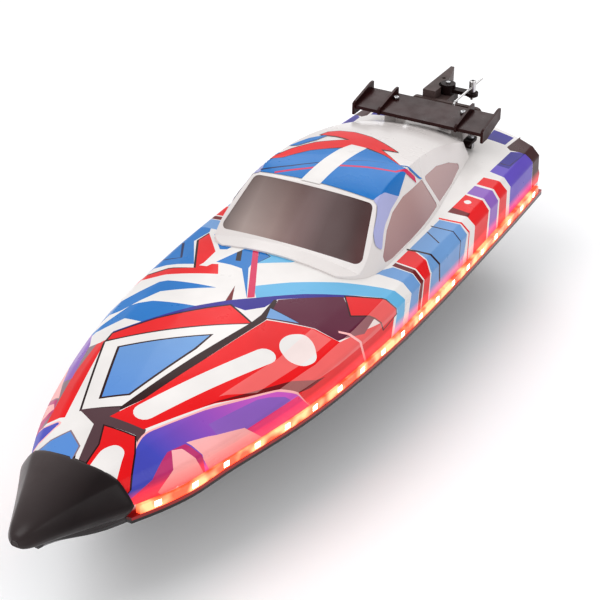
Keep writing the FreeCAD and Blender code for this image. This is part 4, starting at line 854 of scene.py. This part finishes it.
class Plan:
    """Points and edges of a flat layout before it is triangulated."""

    def __init__(self):
        self.points = []
        self.edges = []

    def line(self, points, closed=False):
        first = len(self.points)
        self.points += points
        last = len(self.points) - 1
        self.edges += [(index, index + 1) for index in range(first, last)]
        if closed:
            self.edges.append((last, first))

    def pattern(self, pattern, pitch):
        for outline in pattern.outlines():
            self.line(divided(outline, pitch), True)


def film_materials():
    """A plain material, and a lighter one for faces under a painted highlight, for every livery colour."""
    gradients = {
        # axis, start, end, colour at the end
        "purple": ("Y", -160.0, -95.0, linear(196, 92, 186)),
        # pale pink turns salmon low on the sides: painted red light from the strip
        "pale_pink": ("Z", 50.0, 34.0, linear(255, 150, 140)),
        "light_blue": ("Y", -80.0, -140.0, linear(92, 140, 204)),
        # magenta turns red low on the sides: painted red light from the strip
        "magenta": ("Z", 44.0, 34.0, linear(230, 40, 60)),
    }
    made = {}
    for name, rgb in LIVERY.items():
        colour = linear(*rgb)
        gradient = gradients.get(name)
        made[name] = film_paint("film_" + name, colour, gradient)
        # the lighter copy of each colour, for faces under a painted highlight
        highlit = blended(colour, linear(*PAINTED_HIGHLIGHT_RGB), PAINTED_HIGHLIGHT_SHARE)
        made[name + "_veiled"] = film_paint("film_" + name + "_veiled", highlit, gradient)
    return made


def build_film(name, body, plan, pattern, place, keep, materials):
    """Triangulates a plan, lifts it onto its surface and colours each face by the pattern."""
    flat, faces = triangulate(plan.points, plan.edges)
    kept, colours = [], []
    for face in faces:
        centre = (sum(flat[i][0] for i in face) / 3, sum(flat[i][1] for i in face) / 3)
        if keep(centre):
            kept.append(face)
            colours.append(pattern.colour_at(centre))
    used = sorted({index for face in kept for index in face})
    number = {index: order for order, index in enumerate(used)}
    placed = [place(*flat[index]) for index in used]
    verts = [(spot * MM)[:] for spot, _ in placed]
    mesh = bpy.data.meshes.new(name)
    mesh.from_pydata(verts, [], [[number[i] for i in face] for face in kept])
    names = sorted(set(colours))
    for colour in names:
        mesh.materials.append(materials[colour])
    for polygon, colour in zip(mesh.polygons, colours):
        polygon.material_index = names.index(colour)
        polygon.use_smooth = True
    facing = [normal for _, normal in placed]
    for polygon in mesh.polygons:
        if polygon.normal.dot(facing[polygon.vertices[0]]) < 0:
            polygon.flip()
    mesh.update()
    mesh.normals_split_custom_set_from_vertices([normal[:] for normal in facing])
    piece = bpy.data.objects.new(name, mesh)
    bpy.context.scene.collection.objects.link(piece)
    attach(piece, body)


def lay_deck_grid(plan):
    """Adds the deck's rows of points, and lines along its ridges, to a plan."""
    count = math.ceil((FILM_END_Y - FILM_START_Y) / ROW_PITCH)
    rows = [FILM_START_Y + (FILM_END_Y - FILM_START_Y) * i / count for i in range(count + 1)]
    ridges = [[] for _ in range(11)]
    for y in rows:
        _, _, low_edge, high_edge, top_edge, _ = station_at(y)
        lines = []
        for edge in (top_edge, high_edge, low_edge):
            lines += [edge[0] - SOFT_EDGE, edge[0], edge[0] + SOFT_EDGE]
        lines += [side_limit(y), (side_limit(y) + low_edge[0]) / 2]
        for ridge, across in zip(ridges, lines):
            ridge.append((across, y))
        plan.points += [(top_edge[0] * share, y) for share in CROWN_SHARES]
    for ridge in ridges:
        plan.line(ridge)
        plan.line(flipped(ridge))


def build_deck_film(materials):
    """Printed film of the deck and its sides, open under the cabin and at the pushrod's slot."""
    pattern = deck_pattern()
    plan = Plan()
    plan.pattern(pattern, EDGE_PITCH)
    lay_deck_grid(plan)
    plan.line(divided(CABIN_HOLE, EDGE_PITCH), True)
    plan.line(ROD_HOLE, True)

    def keep(centre):
        across, y = centre
        if not FILM_START_Y < y < FILM_END_Y or abs(across) > side_limit(y):
            return False
        return not inside(centre, CABIN_HOLE) and not inside(centre, ROD_HOLE)

    def place(across, y):
        normal = deck_normal(across, y)
        return deck_point(across, y) + normal * FILM_LIFT, normal

    build_film("deck_livery", "hull", plan, pattern, place, keep, materials)


def build_roof_film(materials):
    """Printed roof of the cabin, laid on the cabin shell from above."""
    pattern = roof_pattern()
    shell = frame["nodes"]["cabin_shell"]
    tree = BVHTree.FromPolygons([vert.co for vert in shell.data.vertices],
                                [tuple(face.vertices) for face in shell.data.polygons])
    plan = Plan()
    plan.pattern(pattern, ROOF_PITCH)
    for x in ROOF_COLUMNS:
        plan.points += [(x, y) for y in ROOF_ROWS]

    def height(x, y):
        start = Vector((x * MM, y * MM, RAY_START_Z * MM))
        hit = tree.ray_cast(start, Vector((0, 0, -1)))[0]
        return hit.z / MM if hit else 0.0

    def keep(centre):
        printed = any(inside(centre, outline) for _, outline in pattern.panels)
        return printed and height(*centre) > ROOF_LOW_Z

    def shell_height(x, y):
        """The shell's height, taken a little nearer the middle where x, y falls in an opening."""
        for step in range(SEARCH_COUNT):
            found = height(x - math.copysign(SEARCH_STEP * step, x), y)
            if found > ROOF_LOW_Z:
                break
        return found

    def place(x, y):
        step = SLOPE_STEP
        along = Vector((0, 2 * step, shell_height(x, y + step) - shell_height(x, y - step)))
        girth = Vector((2 * step, 0, shell_height(x + step, y) - shell_height(x - step, y)))
        normal = girth.cross(along).normalized()
        return Vector((x, y, shell_height(x, y))) + normal * ROOF_LIFT, normal

    build_film("roof_livery", "cabin", plan, pattern, place, keep, materials)


# ---------------------------------------------------------------- nose cap
def build_bumper(material):
    """Soft nose cap with rounded edges, in the place of its CAD block."""
    ring = NOSE_PROFILE + [(-x, t) for x, t in reversed(NOSE_PROFILE[1:-1])]
    verts = []
    for y, half, low, high in NOSE_ROWS:
        verts += [(x * half * MM, y * MM, (low + (high - low) * t) * MM) for x, t in ring]
    size = len(ring)
    # a narrower last ring turns the rear edge inwards
    y, half, low, high = NOSE_ROWS[-1]
    verts += [(x * half * NOSE_LIP * MM, (y + 0.5) * MM,
               (low + (high - low) * (0.08 + t * NOSE_LIP)) * MM) for x, t in ring]
    faces = []
    for start in range(0, len(NOSE_ROWS) * size, size):
        for index in range(size):
            after = (index + 1) % size
            faces.append((start + index, start + after, start + size + after, start + size + index))
    faces.append(tuple(range(size)))
    mesh = bpy.data.meshes.new("nose_cap")
    mesh.from_pydata(verts, [], faces)
    mesh.update()
    for polygon in mesh.polygons:
        polygon.use_smooth = True
    crease = mesh.attributes.new("crease_edge", "FLOAT", "EDGE")
    sharp = set(NOSE_RIDGES) | {size - index for index in NOSE_RIDGES}
    for edge in mesh.edges:
        first, second = sorted(edge.vertices)
        if second - first == size and first % size in sharp:
            crease.data[edge.index].value = NOSE_CREASE
    piece = bpy.data.objects.new("nose_cap", mesh)
    bpy.context.scene.collection.objects.link(piece)
    modifier = piece.modifiers.new("smooth", "SUBSURF")
    modifier.levels = modifier.render_levels = 2
    paint(piece, material)
    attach(piece, "hull")
    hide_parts("bow_bumper")


# ---------------------------------------------------------------- stage
def build_stage():
    """Plain pale floor, one millimetre below the boat's lowest point."""
    mesh = bpy.data.meshes.new("floor")
    corners = [(-FLOOR_REACH, -FLOOR_REACH, 0), (FLOOR_REACH, -FLOOR_REACH, 0),
               (FLOOR_REACH, FLOOR_REACH, 0), (-FLOOR_REACH, FLOOR_REACH, 0)]
    mesh.from_pydata(corners, [], [(0, 1, 2, 3)])
    floor = bpy.data.objects.new("floor", mesh)
    floor.location.z = FLOOR_Z * MM
    bpy.context.scene.collection.objects.link(floor)
    shader = Shader("floor_paper", linear(250, 250, 251), 0.9)
    shader.tint(linear(248, 248, 250), linear(252, 252, 253), 3.0)
    paint(floor, shader.material)


def add_light(name, place, size, power):
    data = bpy.data.lights.new(name, "AREA")
    data.shape = "RECTANGLE"
    data.size, data.size_y = size
    data.energy = power
    light = bpy.data.objects.new(name, data)
    light.location = place
    aim = Vector(LIGHT_TARGET) - Vector(place)
    light.rotation_euler = aim.to_track_quat("-Z", "Y").to_euler()
    bpy.context.scene.collection.objects.link(light)


def build_lights():
    world = bpy.data.worlds.new("studio")
    world.use_nodes = True
    background = world.node_tree.nodes["Background"]
    background.inputs["Color"].default_value = (1.0, 1.0, 1.0, 1.0)
    background.inputs["Strength"].default_value = WORLD_POWER
    bpy.context.scene.world = world
    for light in LIGHTS:
        add_light(*light)


def build_camera():
    data = bpy.data.cameras.new("camera")
    data.sensor_width = 36.0
    data.lens = CAMERA_LENS
    camera = bpy.data.objects.new("camera", data)
    camera.location = CAMERA_PLACE
    azimuth = math.radians(CAMERA_AZIMUTH)
    elevation = math.radians(CAMERA_ELEVATION)
    level = math.cos(elevation)
    ahead = Vector((-math.sin(azimuth) * level, math.cos(azimuth) * level, -math.sin(elevation)))
    roll = Matrix.Rotation(math.radians(CAMERA_ROLL), 3, "Z")
    turn = ahead.to_track_quat("-Z", "Y").to_matrix() @ roll
    camera.rotation_euler = turn.to_euler()
    bpy.context.scene.collection.objects.link(camera)
    bpy.context.scene.camera = camera


def main():
    view = bpy.context.scene.view_settings
    view.view_transform = "Standard"
    view.look = "Medium High Contrast"
    materials = slot_materials()
    films = film_materials()
    dress_frame(materials)
    build_deck_film(films)
    build_roof_film(films)
    build_bumper(materials["bumper_rubber"])
    build_stage()
    build_lights()
    build_camera()


main()
